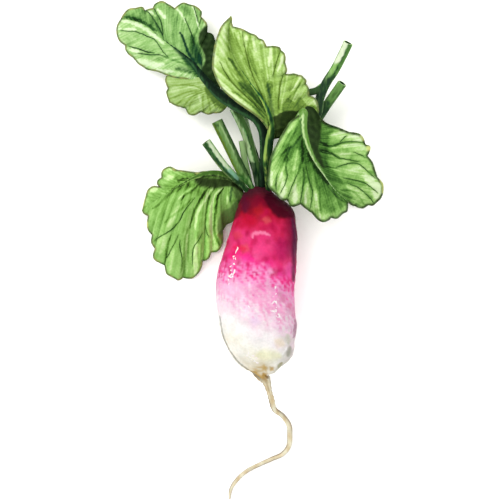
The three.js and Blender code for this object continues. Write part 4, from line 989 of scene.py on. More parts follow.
def ribbed_rod_tree():
    """A ribbed rod along a line of points that carry its radius, with sunken pith at its ends."""
    sizes = dict.fromkeys(("Rib Depth", "Turn", "Step", "Hollow"), "Float")
    tree, given = new_tree(
        "Ribbed rod", {"Sides": "Int", "Ribs": "Int", **sizes, "Rind": "Material"}
    )
    curve = add(tree, "GeometryNodeMeshToCurve", {0: given["Geometry"]})
    even = add(
        tree, "GeometryNodeResampleCurve", {0: curve, "Length": given["Step"]}, mode="LENGTH"
    )
    # The section: a circle with ridges at even angles.
    index = add(tree, "GeometryNodeInputIndex")
    around = add(tree, "ShaderNodeMath", {0: index, 1: given["Sides"]}, operation="DIVIDE")
    angle = add(tree, "ShaderNodeMath", {0: around, 1: 2 * math.pi}, operation="MULTIPLY")
    turned = add(tree, "ShaderNodeMath", {0: angle, 1: given["Turn"]}, operation="ADD")
    repeated = add(tree, "ShaderNodeMath", {0: turned, 1: given["Ribs"]}, operation="MULTIPLY")
    ridge = add(tree, "ShaderNodeMath", {0: repeated}, operation="COSINE")
    depth = {0: ridge, 1: given["Rib Depth"], 2: 1.0}
    swell = add(tree, "ShaderNodeMath", depth, operation="MULTIPLY_ADD")
    round_size = {"Resolution": given["Sides"], "Radius": 1.0}
    circle = add(tree, "GeometryNodeCurvePrimitiveCircle", round_size)
    ridges = {0: circle, "Name": "ridge", "Value": ridge}
    marked = add(
        tree, "GeometryNodeStoreNamedAttribute", ridges, data_type="FLOAT", domain="POINT"
    )
    position = add(tree, "GeometryNodeInputPosition")
    pushed = add(tree, "ShaderNodeVectorMath", {0: position, "Scale": swell}, operation="SCALE")
    profile = add(tree, "GeometryNodeSetPosition", {0: marked, "Position": pushed})
    radius = add(tree, "GeometryNodeInputNamedAttribute", {"Name": "radius"}, data_type="FLOAT")
    thick = {"Scale": radius.outputs["Attribute"], "Fill Caps": True}
    rod = add(tree, "GeometryNodeCurveToMesh", {0: even, 1: profile, **thick})
    # The ends: a rim, and pith that has sunk inside it.
    corners = add(tree, "GeometryNodeInputMeshFaceNeighbors")
    is_cap = add(
        tree, "FunctionNodeCompare", {2: corners, 3: 4}, data_type="INT", operation="GREATER_THAN"
    )
    rim = add(tree, "GeometryNodeExtrudeMesh", {0: rod, "Selection": is_cap, "Offset Scale": 0.0})
    top = rim.outputs["Top"]
    inset = add(tree, "GeometryNodeScaleElements", {0: rim, "Selection": top, "Scale": 0.74})
    sunk = add(tree, "ShaderNodeMath", {0: given["Hollow"], 1: -1.0}, operation="MULTIPLY")
    pith = add(
        tree, "GeometryNodeExtrudeMesh", {0: inset, "Selection": top, "Offset Scale": sunk}
    )
    bottom = pith.outputs["Top"]
    cut = add(tree, "GeometryNodeScaleElements", {0: pith, "Selection": bottom, "Scale": 0.8})
    inside = add(
        tree, "FunctionNodeBooleanMath", {0: bottom, 1: pith.outputs["Side"]}, operation="OR"
    )
    for name, faces in (("pith", inside), ("cut_rim", rim.outputs["Side"])):
        kept = {0: cut, "Name": name, "Value": faces}
        cut = add(tree, "GeometryNodeStoreNamedAttribute", kept, data_type="FLOAT", domain="FACE")
    return ended(tree, cut, given["Rind"])


def skin_marks_tree():
    """Small pale bosses, white as painted highlights, strewn along lines, each pressed into the
    nearest skin.
    """
    sizes = dict.fromkeys(("Spacing", "Size", "Stray"), "Float")
    tree, given = new_tree(
        "Skin marks", {"Skin": "Object", **sizes, "Seed": "Int", "Cork Highlight": "Material"}
    )
    seed = {"Seed": given["Seed"]}
    curve = add(tree, "GeometryNodeMeshToCurve", {0: given["Geometry"]})
    spacing = {0: curve, "Length": given["Spacing"]}
    points = add(tree, "GeometryNodeCurveToPoints", spacing, mode="LENGTH")
    low, high = (
        add(tree, "ShaderNodeVectorMath", {0: way, "Scale": given["Stray"]}, operation="SCALE")
        for way in ((-1, -1, 0), (1, 1, 0))
    )
    stray = add(
        tree, "FunctionNodeRandomValue", {0: low, 1: high, **seed}, data_type="FLOAT_VECTOR"
    )
    strewn = add(tree, "GeometryNodeSetPosition", {0: points, "Offset": stray})
    skin = add(tree, "GeometryNodeObjectInfo", {"Object": given["Skin"]}).outputs["Geometry"]
    near = add(tree, "GeometryNodeProximity", {0: skin}, target_element="FACES")
    landed = add(tree, "GeometryNodeSetPosition", {0: strewn, "Position": near})
    # Each boss lies flat on the skin, turned and stretched at random.
    normal = add(tree, "GeometryNodeInputNormal")
    facing = add(
        tree, "GeometryNodeSampleNearestSurface", {0: skin, "Value": normal},
        data_type="FLOAT_VECTOR",
    )
    upright = add(tree, "FunctionNodeAlignRotationToVector", {"Vector": facing}, axis="Z")
    spin = add(
        tree, "FunctionNodeRandomValue", {2: 0.0, 3: math.pi, **seed}, data_type="FLOAT"
    ).outputs[1]
    turned = add(tree, "FunctionNodeAxisAngleToRotation", {0: (0, 0, 1), "Angle": spin})
    rotation = add(
        tree, "FunctionNodeRotateRotation", {0: upright, 1: turned}, rotation_space="LOCAL"
    )
    stretch = {0: BOSS_LEAST, 1: BOSS_MOST, **seed}
    scale = add(tree, "FunctionNodeRandomValue", stretch, data_type="FLOAT_VECTOR")
    ball = add(tree, "GeometryNodeMeshIcoSphere", {"Radius": given["Size"], "Subdivisions": 2})
    pose = {"Instance": ball, "Rotation": rotation, "Scale": scale}
    bosses = add(tree, "GeometryNodeInstanceOnPoints", {0: landed, **pose})
    return ended(tree, bosses, given["Cork Highlight"])


# ------------------------------------------------------------------ materials


def new_material(name):
    """A material, its own empty tree, and where each point of its surface lies."""
    material = bpy.data.materials.new(name)
    material.use_nodes = True
    tree = material.node_tree
    tree.nodes.clear()
    return material, tree, add(tree, "ShaderNodeTexCoord").outputs["Object"]


def finished(tree, colour, roughness, gloss, relief=None, strength=0.0, depth=0.0, **flesh):
    """Ends a material: colour, finish, fine relief `depth` mm deep, and light let in."""
    looks = {"Base Color": colour, "Roughness": roughness, "Specular IOR Level": gloss}
    if relief:
        bump = {"Height": relief, "Strength": strength, "Distance": depth * MM}
        looks["Normal"] = add(tree, "ShaderNodeBump", bump)
    for name, value in flesh.items():
        looks[f"Subsurface {name.title()}"] = value
    shader = add(tree, "ShaderNodeBsdfPrincipled", looks)
    add(tree, "ShaderNodeOutputMaterial", {"Surface": shader})


def mottled(tree, where, size, low, high):
    """A number that wanders between low and high, with hills about `size` mm apart."""
    noise = add(tree, "ShaderNodeTexNoise", {"Vector": where, "Scale": 1 / (size * MM)})
    return add(tree, "ShaderNodeMapRange", {0: noise, 1: 0.3, 2: 0.7, 3: low, 4: high})


def speckled(tree, where, size, *stops):
    """A colour that wanders between stops, with spots about `size` mm apart."""
    noise = add(tree, "ShaderNodeTexNoise", {"Vector": where, "Scale": 1 / (size * MM)})
    return add(tree, "ShaderNodeValToRGB", {0: noise}, stops)


def over(tree, below, mask, above):
    """A colour with another laid over it, as far as a mask says: an attribute or an output."""
    if isinstance(mask, str):
        mask = add(tree, "ShaderNodeAttribute", attribute_name=mask).outputs["Fac"]
    return add(tree, "ShaderNodeMix", {0: mask, 6: below, 7: above}, data_type="RGBA").outputs[2]


def root_skin():
    """Radish skin, a living peel: smooth, thin and a little waxy, so it has a soft, wet gloss."""
    material, tree, where = new_material("radish skin, living and waxy")
    skin = add(tree, "ShaderNodeAttribute", attribute_name="pigment").outputs["Color"]
    # The red lies unevenly under the skin, in patches and in specks.
    for size, low, high in ((2.6, 0.9, 1.06), (0.6, 0.93, 1.04)):
        level = {0: skin, "Scale": mottled(tree, where, size, low, high)}
        skin = add(tree, "ShaderNodeVectorMath", level, operation="SCALE")
    pores = add(tree, "ShaderNodeTexNoise", {"Vector": where, "Scale": 1 / (0.7 * MM)})
    flesh = {"weight": 0.08, "radius": (1.0, 0.5, 0.4), "scale": 1.0 * MM}
    relief = {"relief": pores, "strength": 0.2, "depth": 0.06}
    finished(tree, skin, roughness=0.42, gloss=0.02, **relief, **flesh)
    return material


def leaf_blade(name, greens, shade, rim):
    """Fresh leaf blade, grown: matt to satin, quilted between its veins, darker in its folds, with
    painted shade and painted light laid over it.
    """
    material, tree, where = new_material(name)
    tone = add(tree, "ShaderNodeAttribute", attribute_name="tone").outputs["Fac"]
    for size, reach in ((1.8, 0.07), (0.5, 0.05)):
        drift = mottled(tree, where, size, -reach, reach)
        tone = add(tree, "ShaderNodeMath", {0: tone, 1: drift}, operation="ADD")
    steps = [(0.2 * i, green) for i, green in enumerate(greens)]
    blade = add(tree, "ShaderNodeValToRGB", {0: tone}, steps)
    under = add(tree, "ShaderNodeValToRGB", {0: tone}, UNDERSIDE_GREENS)
    blade = over(tree, blade, "underside", under)
    # Laid over the blade: its dark edge, yellowing, dark teal along the ribs that is partly
    # painted shade, painted shade beside the root and the painted shadows.
    layers = {"rim": rim, "yellowed": "e4ee8e", "deep": "123e2a", "greyed": "66864c"}
    for mask, colour in (*layers.items(), ("shade", shade)):
        blade = over(tree, blade, mask, pigment(colour))
    # Painted light, where the root keeps the light off.
    lifted = add(tree, "ShaderNodeVectorMath", {0: blade, 1: LIFT}, operation="MULTIPLY")
    blade = over(tree, blade, "lift", lifted)
    # The net of the finest veins has cells about 1.3 mm across.
    net = {"Vector": where, "Scale": 1 / (1.3 * MM)}
    cells = add(tree, "ShaderNodeTexVoronoi", net, feature="DISTANCE_TO_EDGE")
    finished(tree, blade, roughness=0.6, gloss=0.02, relief=cells, strength=0.25, depth=0.12)
    return material


def leaf_vein(name, dark, pale):
    """Leaf veins, grown: thin cords of tougher tissue, so they are darker than the blade."""
    material, tree, where = new_material(name)
    vein = speckled(tree, where, 2.5, (0.4, dark), (0.75, pale))
    finished(tree, vein, roughness=0.6, gloss=0.02)
    return material


def stalk_rind(name, greens, pith):
    """Leaf stalk rind, grown: ribbed and satin, pale on its ridges as painted highlight and dark
    in its grooves as painted shade, with wet pith where cut, dark as painted shade in its hollow.
    """
    material, tree, where = new_material(name)
    # Pale on the ridges, a painted highlight, and dark in the grooves, painted shade.
    ridge = add(tree, "ShaderNodeAttribute", attribute_name="ridge").outputs["Fac"]
    # Its streaks are drawn out along the stalk.
    squeezed = {0: where, 1: (2.2, 0.35, 2.2)}
    drawn = add(tree, "ShaderNodeVectorMath", squeezed, operation="MULTIPLY")
    ridged = {0: ridge, 1: 0.3, 2: mottled(tree, drawn, 1.6, 0.2, 0.8)}
    tone = add(tree, "ShaderNodeMath", ridged, operation="MULTIPLY_ADD")
    rind = add(tree, "ShaderNodeValToRGB", {0: tone}, list(zip((0.1, 0.5, 0.95), greens)))
    # The coats: painted shade and painted highlights laid along the rod, made patchy.
    coat = add(tree, "ShaderNodeAttribute", attribute_name="coat")
    patchy = {0: coat.outputs["Alpha"], 1: mottled(tree, drawn, 1.6, 1.25, 0.75)}
    laid = add(tree, "ShaderNodeMath", patchy, operation="MULTIPLY", use_clamp=True)
    rind = over(tree, rind, laid, coat.outputs["Color"])
    # The pale rim of a cut, and the sunk pith, dark as painted shade in its hollow.
    for mask, colour in (("cut_rim", "bfe0a4"), ("pith", pith)):
        rind = over(tree, rind, mask, pigment(colour))
    fibres = add(tree, "ShaderNodeTexNoise", {"Vector": where, "Scale": 1 / (0.5 * MM)})
    finished(tree, rind, roughness=0.5, gloss=0.02, relief=fibres, strength=0.2, depth=0.05)
    return material


def cork_highlight_marks():
    """Lenticels, corky pores of the skin: dry, pale and matt, so they show as white flecks, which
    are painted highlights.
    """
    material, tree, where = new_material("lenticel cork, painted highlight, dry and pale")
    cork = speckled(tree, where, 0.8, (0.3, "f6e4ee"), (0.6, "ffffff"))
    finished(tree, cork, roughness=0.7, gloss=0.5)
    return material


def paper_floor():
    """Matt white paper: even and without gloss, with a faint tooth."""
    material, tree, where = new_material("white paper, matt")
    tooth = add(tree, "ShaderNodeTexNoise", {"Vector": where, "Scale": 1 / (3 * MM)})
    paper = over(tree, linear("f7f7f5"), tooth, linear("fcfcfb"))
    finished(tree, paper, roughness=0.9, gloss=0.1)
    return material


# ------------------------------------------------------------------ paint


def seen(points):
    """Where design points in mm are seen from the eye, on the surface that the radish lies on."""
    points = np.asarray(points, float)
    return EYE + (points[..., :2] - EYE) / (1 - points[..., 2:] / EYE_HEIGHT)


def raised(line, height):
    """A line as seen, as design points at one height or at a height for each point."""
    height = np.broadcast_to(height, len(line))[:, None]
    return np.hstack([EYE + (line - EYE) * (1 - height / EYE_HEIGHT), height])


def stroke_distance(where, path):
    """How far each seen point is from a smooth line, and the share of the line next to it."""
    count = max(4, int(run_along(path)[-1] / 0.5))
    line = spline(path, np.linspace(0, 1, count + 1))
    start, run = line[:-1], np.diff(line, axis=0)
    away = where[..., None, :] - start
    share = np.clip((away * run).sum(-1) / (run**2).sum(-1), 0, 1)
    distance = np.linalg.norm(away - share[..., None] * run, axis=-1)
    nearest = distance.argmin(-1)
    along = (nearest + np.take_along_axis(share, nearest[..., None], -1)[..., 0]) / count
    return distance.min(-1), along


def washed(where, strokes):
    """The sum of soft strokes: a flat middle, soft and uneven edges, and narrow ends."""
    total = np.zeros(where.shape[:-1])
    rough = wander(where, 1.1, 31)
    for strength, wide, path in strokes:
        distance, along = stroke_distance(where, path)
        width = wide * (0.5 + 0.5 * bulge(along))
        core, uneven = (0.4, 0.25) if wide < 0.6 else (0.1, 0.1)
        edge = smoothstep(distance / width + uneven * rough, core, 1.9 - core)
        total += strength * (1 - edge)
    return total


def field_inside(where, corners, soft):
    """1 inside a closed outline, 0 outside, with an edge that fades over `soft` mm each way."""
    corners = np.asarray(corners, float)
    count = len(corners)
    share = np.linspace(1, count + 1, 5 * count + 1) / (count + 2)
    closed = spline(np.vstack([corners[-1:], corners, corners[:2]]), share)
    x, y = where[..., 0], where[..., 1]
    inside = np.zeros(x.shape, bool)
    nearest = np.full(x.shape, np.inf)
    for start, end in zip(closed[:-1], closed[1:]):
        crosses = (start[1] > y) != (end[1] > y)
        rise = end[1] - start[1] if end[1] != start[1] else 1e-9
        inside ^= crosses & (x < start[0] + (y - start[1]) / rise * (end[0] - start[0]))
        run = end - start
        share = np.clip(((where - start) @ run) / (run @ run), 0, 1)
        away = where - start - share[..., None] * run
        nearest = np.minimum(nearest, np.linalg.norm(away, axis=-1))
    signed = np.where(inside, nearest, -nearest) + 0.25 * soft * wander(where, 1.5, 32)
    return smoothstep(signed, -soft, soft)


def fields(where, outlines):
    """The strongest of several soft-edged fields."""
    total = np.zeros(where.shape[:-1])
    for strength, soft, corners in outlines:
        field = strength * field_inside(where, corners, soft)
        total = np.where(np.abs(field) > np.abs(total), field, total)
    return total


# ------------------------------------------------------------------ root


def skin_colours(points, right):
    """The root's colours: bands from crown to tip, patches on them, and its darker flanks, painted
    shade on the right.
    """
    where = seen(points)
    y = points[:, 1]
    # The bands dip on the right of the middle, as painted shade, and rise on the left of the lower
    # half, as painted light.
    middle = smoothstep(right, -0.1, 1.0) * smoothstep(y, 20, 10)
    low = smoothstep(-right, 0.0, 0.9) * smoothstep(-y, -1, 5) * smoothstep(y, -20, -14)
    reach = CROWN_Y - y
    down = reach - 5 * middle + 5 * low
    # Where pink turns white it breaks up into small blotches.
    fading = smoothstep(down, 18, 24) * smoothstep(-down, -39, -34)
    down = down + 0.9 * wander(points, 6.0, 21) + 0.5 * wander(points, 2.2, 22)
    down = down + fading * (2.8 * wander(points, 1.7, 26) + 1.6 * wander(points, 0.9, 27))
    places, bands = zip(*SKIN_BANDS)
    stops = np.array([pigment(band) for band in bands])
    colour = np.stack([np.interp(down, places, stops[:, k]) for k in range(4)], -1)

    def lay(hex_colour, amount):
        amount = np.clip(amount, 0, 1)[:, None]
        colour[:] = colour + amount * (np.array(pigment(hex_colour)) - colour)

    red = smoothstep(-down, -27, -20)
    lay("b80e48", 0.5 * red * smoothstep(down, 5, 9) * wander(points, 3.4, 23))
    lay("ff7fbc", 0.3 * smoothstep(down, 12, 20) * red * wander(points, 4.4, 24))
    # Painted shade down the right flank: dark purple high up, mauve lower down, grey by the white
    # end.
    side = smoothstep(right, 0.45, 1.0)
    lay("70023a", 0.9 * side * smoothstep(y, 5, 10))
    lay("b08aa0", 0.25 * side * smoothstep(down, 22, 27) * smoothstep(-down, -44, -38))
    lay("a8a694", 0.6 * side * smoothstep(down, 36, 42))
    for hex_colour, opacity, wide, path in SKIN_PATCHES:
        lay(hex_colour, washed(where, [(opacity, wide, path)]))
    for hex_colour, strength, soft, corners in SKIN_SHADES:
        lay(hex_colour, fields(where, [(strength, soft, corners)]))
    # The taproot: straw yellow, brown in places, with grey flanks.
    tap = smoothstep(reach, 51.5, 54.5)
    flank = np.abs(right)
    lay("f2ecd0", tap)
    lay("c0984a", 0.45 * tap * (0.5 + 0.5 * wander(points, 2.4, 25)))
    lay("8c8078", 0.75 * tap * smoothstep(flank, 0.6, 0.95))
    lay("9a7434", 0.5 * tap * smoothstep(-flank, -0.4, -0.1) * smoothstep(-reach, -60, -54))
    return colour


def skin_swell(share, angle, radius):
    """How far the root's skin stands off its plain round form."""
    plain = root_surface(share, angle)
    thick = np.minimum(radius / 8, 1)
    swell = 0.1 * thick * wander(plain, 9.0, 4)
    swell += 0.04 * thick * wander(plain, 3.0, 9)
    # Shrunken rings where the root narrows to its taproot, and old leaf scars at the crown.
    narrowing = smoothstep(share, 0.42, 0.5) * (1 - smoothstep(share, 0.6, 0.7))
    swell += (0.06 * narrowing * np.sin(share * 420))[:, None]
    scars = 1 - smoothstep(share, 0.02, 0.08)
    swell += (0.04 * scars * np.sin(share * 300))[:, None] * (1 + 0.5 * np.sin(3 * angle))
    # The taproot is three-sided and twists.
    slim = smoothstep(share, 0.52, 0.6)[:, None]
    return swell + 0.12 * slim * radius * np.sin(3 * angle + 40 * share[:, None])


def root_piece(sides, rings):
    """The swollen root and its taproot in one closed skin."""
    share = np.linspace(0, 1, rings)
    angle = np.linspace(0, 2 * math.pi, sides, endpoint=False)[None, :].repeat(rings, 0)
    swell = skin_swell(share, angle, spline(ROOT_STATIONS, share)[:, 3:])
    skin = root_surface(share, angle, swell)
    dome = [
        CROWN + (skin[0] - CROWN) * math.cos(turn) + (0, CROWN_DOME * math.sin(turn), 0)
        for turn in np.array([0.9, 0.7, 0.4, 0.1]) * math.pi / 2
    ]
    skin = np.concatenate([dome, skin])
    poles = [CROWN + np.array([0, CROWN_DOME, 0]), skin[-1].mean(0) - (0, TIP_LENGTH, 0)]
    points = np.vstack([skin.reshape(-1, 3), poles])
    ring = np.arange(sides)
    following = np.roll(ring, -1)
    first, last = len(points) - 2, len(points) - 1
    tail = first - sides
    quads = np.stack([ring, following, following + sides, ring + sides], -1)
    faces = [quad for row in range(0, tail, sides) for quad in (quads + row).tolist()]
    faces += [(first, k, j) for j, k in zip(ring.tolist(), following.tolist())]
    faces += [(last, tail + j, tail + k) for j, k in zip(ring.tolist(), following.tolist())]
    right = np.append(np.tile(np.sin(angle[0]), len(skin)), [0, 0])
    masks = {"pigment": skin_colours(points, right)}
    return smooth_piece("radish_root", points, faces, masks, root_skin())


def marks_piece(root, spacing, size):
    """The pale corky marks, white as painted highlights, as bosses pressed into the root's skin.
    """
    points, edges = [], []
    for mark in SKIN_MARKS:
        line = spline(mark, np.linspace(0, 1, 6 * len(mark)))
        edges += [(len(points) + i, len(points) + i + 1) for i in range(len(line) - 1)]
        points += raised(line, MARK_HEIGHT).tolist()
    lines = drawn_mesh("skin_marks", points, edges, [], {})
    values = {"Skin": root, "Spacing": spacing, "Size": size, "Stray": MARK_STRAY * MM}
    return grown(lines, skin_marks_tree(), {**values, "Seed": 5, "Cork Highlight": cork_highlight_marks()})


# ------------------------------------------------------------------ leaves


def margin_steps(half, step):
    """A half's margin in even steps: points, shares of the way along, and how far up its tooth."""
    curves, last = [], []
    for tooth in half["margin"]:
        tooth = [*last, *tooth]
        fine = spline(tooth, np.linspace(0, 1, 24 * len(tooth)))
        curves.append((fine, run_along(fine)))
        last = tooth[-1:]
    whole = sum(distance[-1] for _, distance in curves)
    points, along, hill = [], [], []
    before = 0.0
    for fine, distance in curves:
        length = distance[-1]
        share = np.linspace(0, 1, max(4, round(length / step)) + 1)[1 if points else 0 :]
        at = [np.interp(share * length, distance, fine[:, k]) for k in range(3)]
        points.append(np.stack(at, -1))
        along.append((before + share * length) / whole)
        hill.append(np.sin(math.pi * share))
        before += length
    return np.concatenate(points), np.concatenate(along), np.concatenate(hill)


def fanned(half, where, along, out):
    """How far round and how far along the fan of the side veins each point of a half lies."""
    if "fan_from" not in half:
        return along, out, 1
    away = where - half["fan_from"]
    length = np.linalg.norm(away, axis=-1)
    turn = np.arctan2(away[..., 0], np.abs(away[..., 1]))
    return FAN_TURN * turn, length / FAN_REACH, smoothstep(length, *FAN_OPENS)


def blade_points(leaf, half, sizes):
    """The middle sheet of half a blade, as a grid of points, with its hills and valleys."""
    edge, along, hill = margin_steps(half, sizes["step"])
    rows = np.linspace(0, 1, sizes["rows"] + 1)
    out = np.broadcast_to(1 - (1 - rows) ** ROW_CROWDING, (len(along), len(rows)))
    along = np.broadcast_to(along[:, None], out.shape)
    hill = np.broadcast_to(hill[:, None], out.shape)
    arch = 4 * out * (1 - out)
    # The side veins leave the rib at a slant and then bend out to the margin.
    start, end = half["span"]
    on_rib = start + (end - start) * along ** half["fan"]
    on_rib = on_rib + VEIN_SLANT * (end - on_rib) * arch
    inner = spline(leaf["rib"], on_rib / (len(leaf["rib"]) - 1))
    points = inner + (edge[:, None] - inner) * out[..., None]
    ends = np.minimum(1, 8 * np.minimum(along, 1 - along))
    points[..., 2] += half["crown"] * arch * ends
    points[..., 2] += half["ripple"] * (2 * hill - 1) * out * ends
    turn, reach, open_fan = fanned(half, seen(points), along, out)
    grain = np.stack([turn, reach], -1) * QUILT_GRAIN
    points[..., 2] += QUILT * open_fan * wander(grain, 1.6, 3) * out * ends
    points[..., 2] += FINE_QUILT * wander(points, 1.4, 4) * ends
    return points, along, out, hill


def blade_masks(leaf, half, points, along, out, hill, seed):
    """What the blade's material reads: how pale each point is, its folds, edge and shades, painted
    shade and painted light among them.
    """
    where = seen(points)
    painted = half if half.get("turned") else leaf
    near, far = half["tone"]
    tone = near + (far - near) * smoothstep(out, 0.0, 0.9)
    # Painted light on the raised middle of each tooth, and painted shade towards its notches.
    tone = tone + 0.05 * (hill - 0.6) * smoothstep(out, 0.2, 0.8)
    # Fine streaks fan out with the side veins.
    turn, reach, open_fan = fanned(half, where, along, out)
    grain = np.stack([turn, reach], -1) * STREAK_GRAIN
    streaks = 0.07 * wander(grain, 0.5, seed) + 0.09 * wander(grain, 1.2, seed + 1)
    tone = tone + streaks * open_fan + 0.03 * wander(where, 0.7, seed + 3)
    # Strokes: the blade's own streaks, with painted highlights and painted shade among them.
    tone = tone + 1.3 * washed(where, painted["washes"])
    to_edge = stroke_distance(where, where[:, -1])[0]
    patchy = 0.5 + 0.5 * wander(where, 2.2, seed + 5)
    field = {
        mask: fields(where, painted.get(mask, []))
        for mask in ("darkened", "shaded", "greyed", "lifted")
    }
    stroke = {mask: washed(where, painted.get(mask, [])) for mask in ("deep", "yellowed")}
    yellow_rim = leaf.get("yellow_rim", YELLOW_RIM) * patchy * (to_edge < YELLOW_RIM_WIDTH)
    # The shaded and greyed fields are painted shade, the lifted ones painted light, and the
    # darkened ones mostly painted shade in the tone.
    return {
        "tone": np.clip(tone + field["darkened"], 0, 1),
        "shade": field["shaded"] * (0.93 + 0.07 * patchy),
        "greyed": field["greyed"],
        "lift": field["lifted"],
        "deep": np.clip(stroke["deep"], 0, 1),
        "yellowed": np.clip(stroke["yellowed"] + yellow_rim, 0, 1),
        "rim": (0.75 + 0.25 * patchy) * smoothstep(to_edge, leaf.get("rim", RIM_WIDTH), 0.3),
    }


def vein_furrows(leaf, where):
    """1 in the middle of each side vein as seen, falling to 0 beside it."""
    nearest = np.min([stroke_distance(where, path)[0] for _, path in leaf["veins"]], 0)
    return np.exp(-((nearest / FURROW_WIDTH) ** 2))


def half_blade(name, leaf, half, sizes, material, seed):
    """Half a blade as a closed sheet, and the seen top of it, which the veins are laid on."""
    points, along, out, hill = blade_points(leaf, half, sizes)
    turned = half.get("turned", False)
    furrow = FURROW * (0 if turned else vein_furrows(leaf, seen(points)))
    points[..., 2] -= furrow
    normal = unit(np.cross(np.gradient(points, axis=1), np.gradient(points, axis=0)) + 1e-9)
    if normal[..., 2].mean() < 0:
        normal = -normal
    thickness = sizes["thickness"] + (sizes["margin_thickness"] - sizes["thickness"]) * out
    points[..., 2] = np.maximum(points[..., 2], 0.5 * thickness + LOWEST_BLADE)
    masks = blade_masks(leaf, half, points, along, out, hill, seed)
    # Painted shade in the furrows over the veins, as dark as they are deep.
    masks["tone"] = masks["tone"] - furrow
    rise = normal * (thickness / 2)[..., None]
    top, bottom = ((points + way * rise).reshape(-1, 3) for way in (1, -1))
    count = len(top)
    grid = np.arange(count).reshape(out.shape)
    quads = np.stack([grid[:-1, :-1], grid[1:, :-1], grid[1:, 1:], grid[:-1, 1:]], -1)
    quads = quads.reshape(-1, 4)
    border = np.concatenate([grid[:, 0], grid[-1, 1:], grid[-2::-1, -1], grid[0, -2:0:-1]])
    following = np.roll(border, -1)
    wall = np.stack([border, following, following + count, border + count], -1)
    faces = np.concatenate([quads, quads[:, ::-1] + count, wall[:, ::-1]])
    # Faces point out of the sheet: a quad in its middle shows which way round that is.
    quad = quads[len(quads) // 2]
    corner = top[quad]
    facing = np.cross(corner[1] - corner[0], corner[2] - corner[0])
    if facing.dot(normal.reshape(-1, 3)[quad[0]]) < 0:
        faces = faces[:, ::-1]
    both = {mask: np.tile(values.ravel(), 2) for mask, values in masks.items()}
    both["underside"] = np.repeat([turned, not turned], count)
    flat = np.concatenate([top, bottom])
    return smooth_piece(name, flat, faces.tolist(), both, material), top


def veins_on(name, leaf, tops, rod_tree, material):
    """The side veins that stand out, as thin tubes laid on the top of the blade."""
    skin = np.concatenate(tops)
    where = seen(skin)
    points, edges, radii = [], [], []
    for radius, path in leaf["veins"]:
        share = np.linspace(0, 1, max(8, int(run_along(path)[-1] / VEIN_POINT_STEP)))
        line = spline(path, share)
        line = line + VEIN_WAVER * np.stack([wander(line, 1.1, 41), wander(line, 1.3, 42)], -1)
        heights = []
        for x, y in line:
            away = np.hypot(where[:, 0] - x, where[:, 1] - y)
            near = skin[away < max(0.3, away.min() * 1.2)]
            heights.append(near[:, 2].max())
        heights = np.convolve(np.pad(heights, 2, mode="edge"), np.full(5, 0.2), "valid")
        edges += [(len(points) + i, len(points) + i + 1) for i in range(len(line) - 1)]
        points += raised(line, heights).tolist()
        radii += (radius * (0.35 + 0.65 * bulge(share))).tolist()
    values = {"Sides": VEIN_SIDES, "Ribs": 0, "Rib Depth": 0.0, "Turn": 0.0}
    values.update({"Step": VEIN_STEP * MM, "Hollow": 0.0, "Rind": material})
    return rod_from(name, points, edges, np.array(radii), rod_tree, values)


# ------------------------------------------------------------------ stalks


def rod_from(name, points, edges, radius, rod_tree, values):
    """A rod along lines of design points, each with its radius in mm."""
    return grown(drawn_mesh(name, points, edges, [], {"radius": radius * MM}), rod_tree, values)


def rod_along(name, path, radius_at, rod_tree, values):
    """A ribbed rod along a smooth path, its radius given by the share and the distance along."""
    share = np.linspace(0, 1, PATH_POINTS * (len(path) - 1) + 1)
    points = spline(path, share)
    edges = [(i, i + 1) for i in range(len(points) - 1)]
    radius = radius_at(share, run_along(points))
    values = {**values, "Sides": ROD_SIDES, "Step": ROD_STEP * MM}
    return rod_from(name, points, edges, radius, rod_tree, values)


def swollen(radius, distance):
    """A stalk is narrow at its foot, where it squeezes in beside its neighbours."""
    return FOOT_RADIUS + (radius - FOOT_RADIUS) * smoothstep(distance, 0, FOOT_LENGTH)


def coated(made, path, radius, coats):
    """Lays long strokes of colour along a rod, painted shade and painted highlights among them:
    from side to side, and from foot to end.
    """
    mesh = made.data
    flat = np.empty(3 * len(mesh.vertices), np.float32)
    mesh.vertices.foreach_get("co", flat)
    where = seen(flat.reshape(-1, 3) / MM - OFFSET)
    line = seen(path)
    distance, along = stroke_distance(where, line)
    ahead = spline(line, along + 0.02) - spline(line, along - 0.02)
    away = where - spline(line, along)
    rightward = ahead[:, 1] * away[:, 0] - ahead[:, 0] * away[:, 1]
    side = np.sign(rightward) * distance / radius + 0.07 * wander(where, 1.8, 51)
    along = along + 0.03 * wander(where, 2.4, 52)
    coat = np.zeros((len(where), 4))
    for hex_colour, strength, place, wide, start, end in coats:
        body = 1 - smoothstep(np.abs(side - place), 0.6 * wide, 1.2 * wide)
        body = body * (smoothstep(along, start - 0.04, start + 0.04) if start else 1)
        body = (strength * body * (1 - smoothstep(along, end - 0.05, end + 0.05)))[:, None]
        below = coat[:, 3:] * (1 - body)
        mixed = coat[:, :3] * below + np.array(pigment(hex_colour)[:3]) * body
        coat = np.hstack([mixed / np.maximum(below + body, 1e-6), below + body])
    store(mesh, {"coat": coat})
    return made


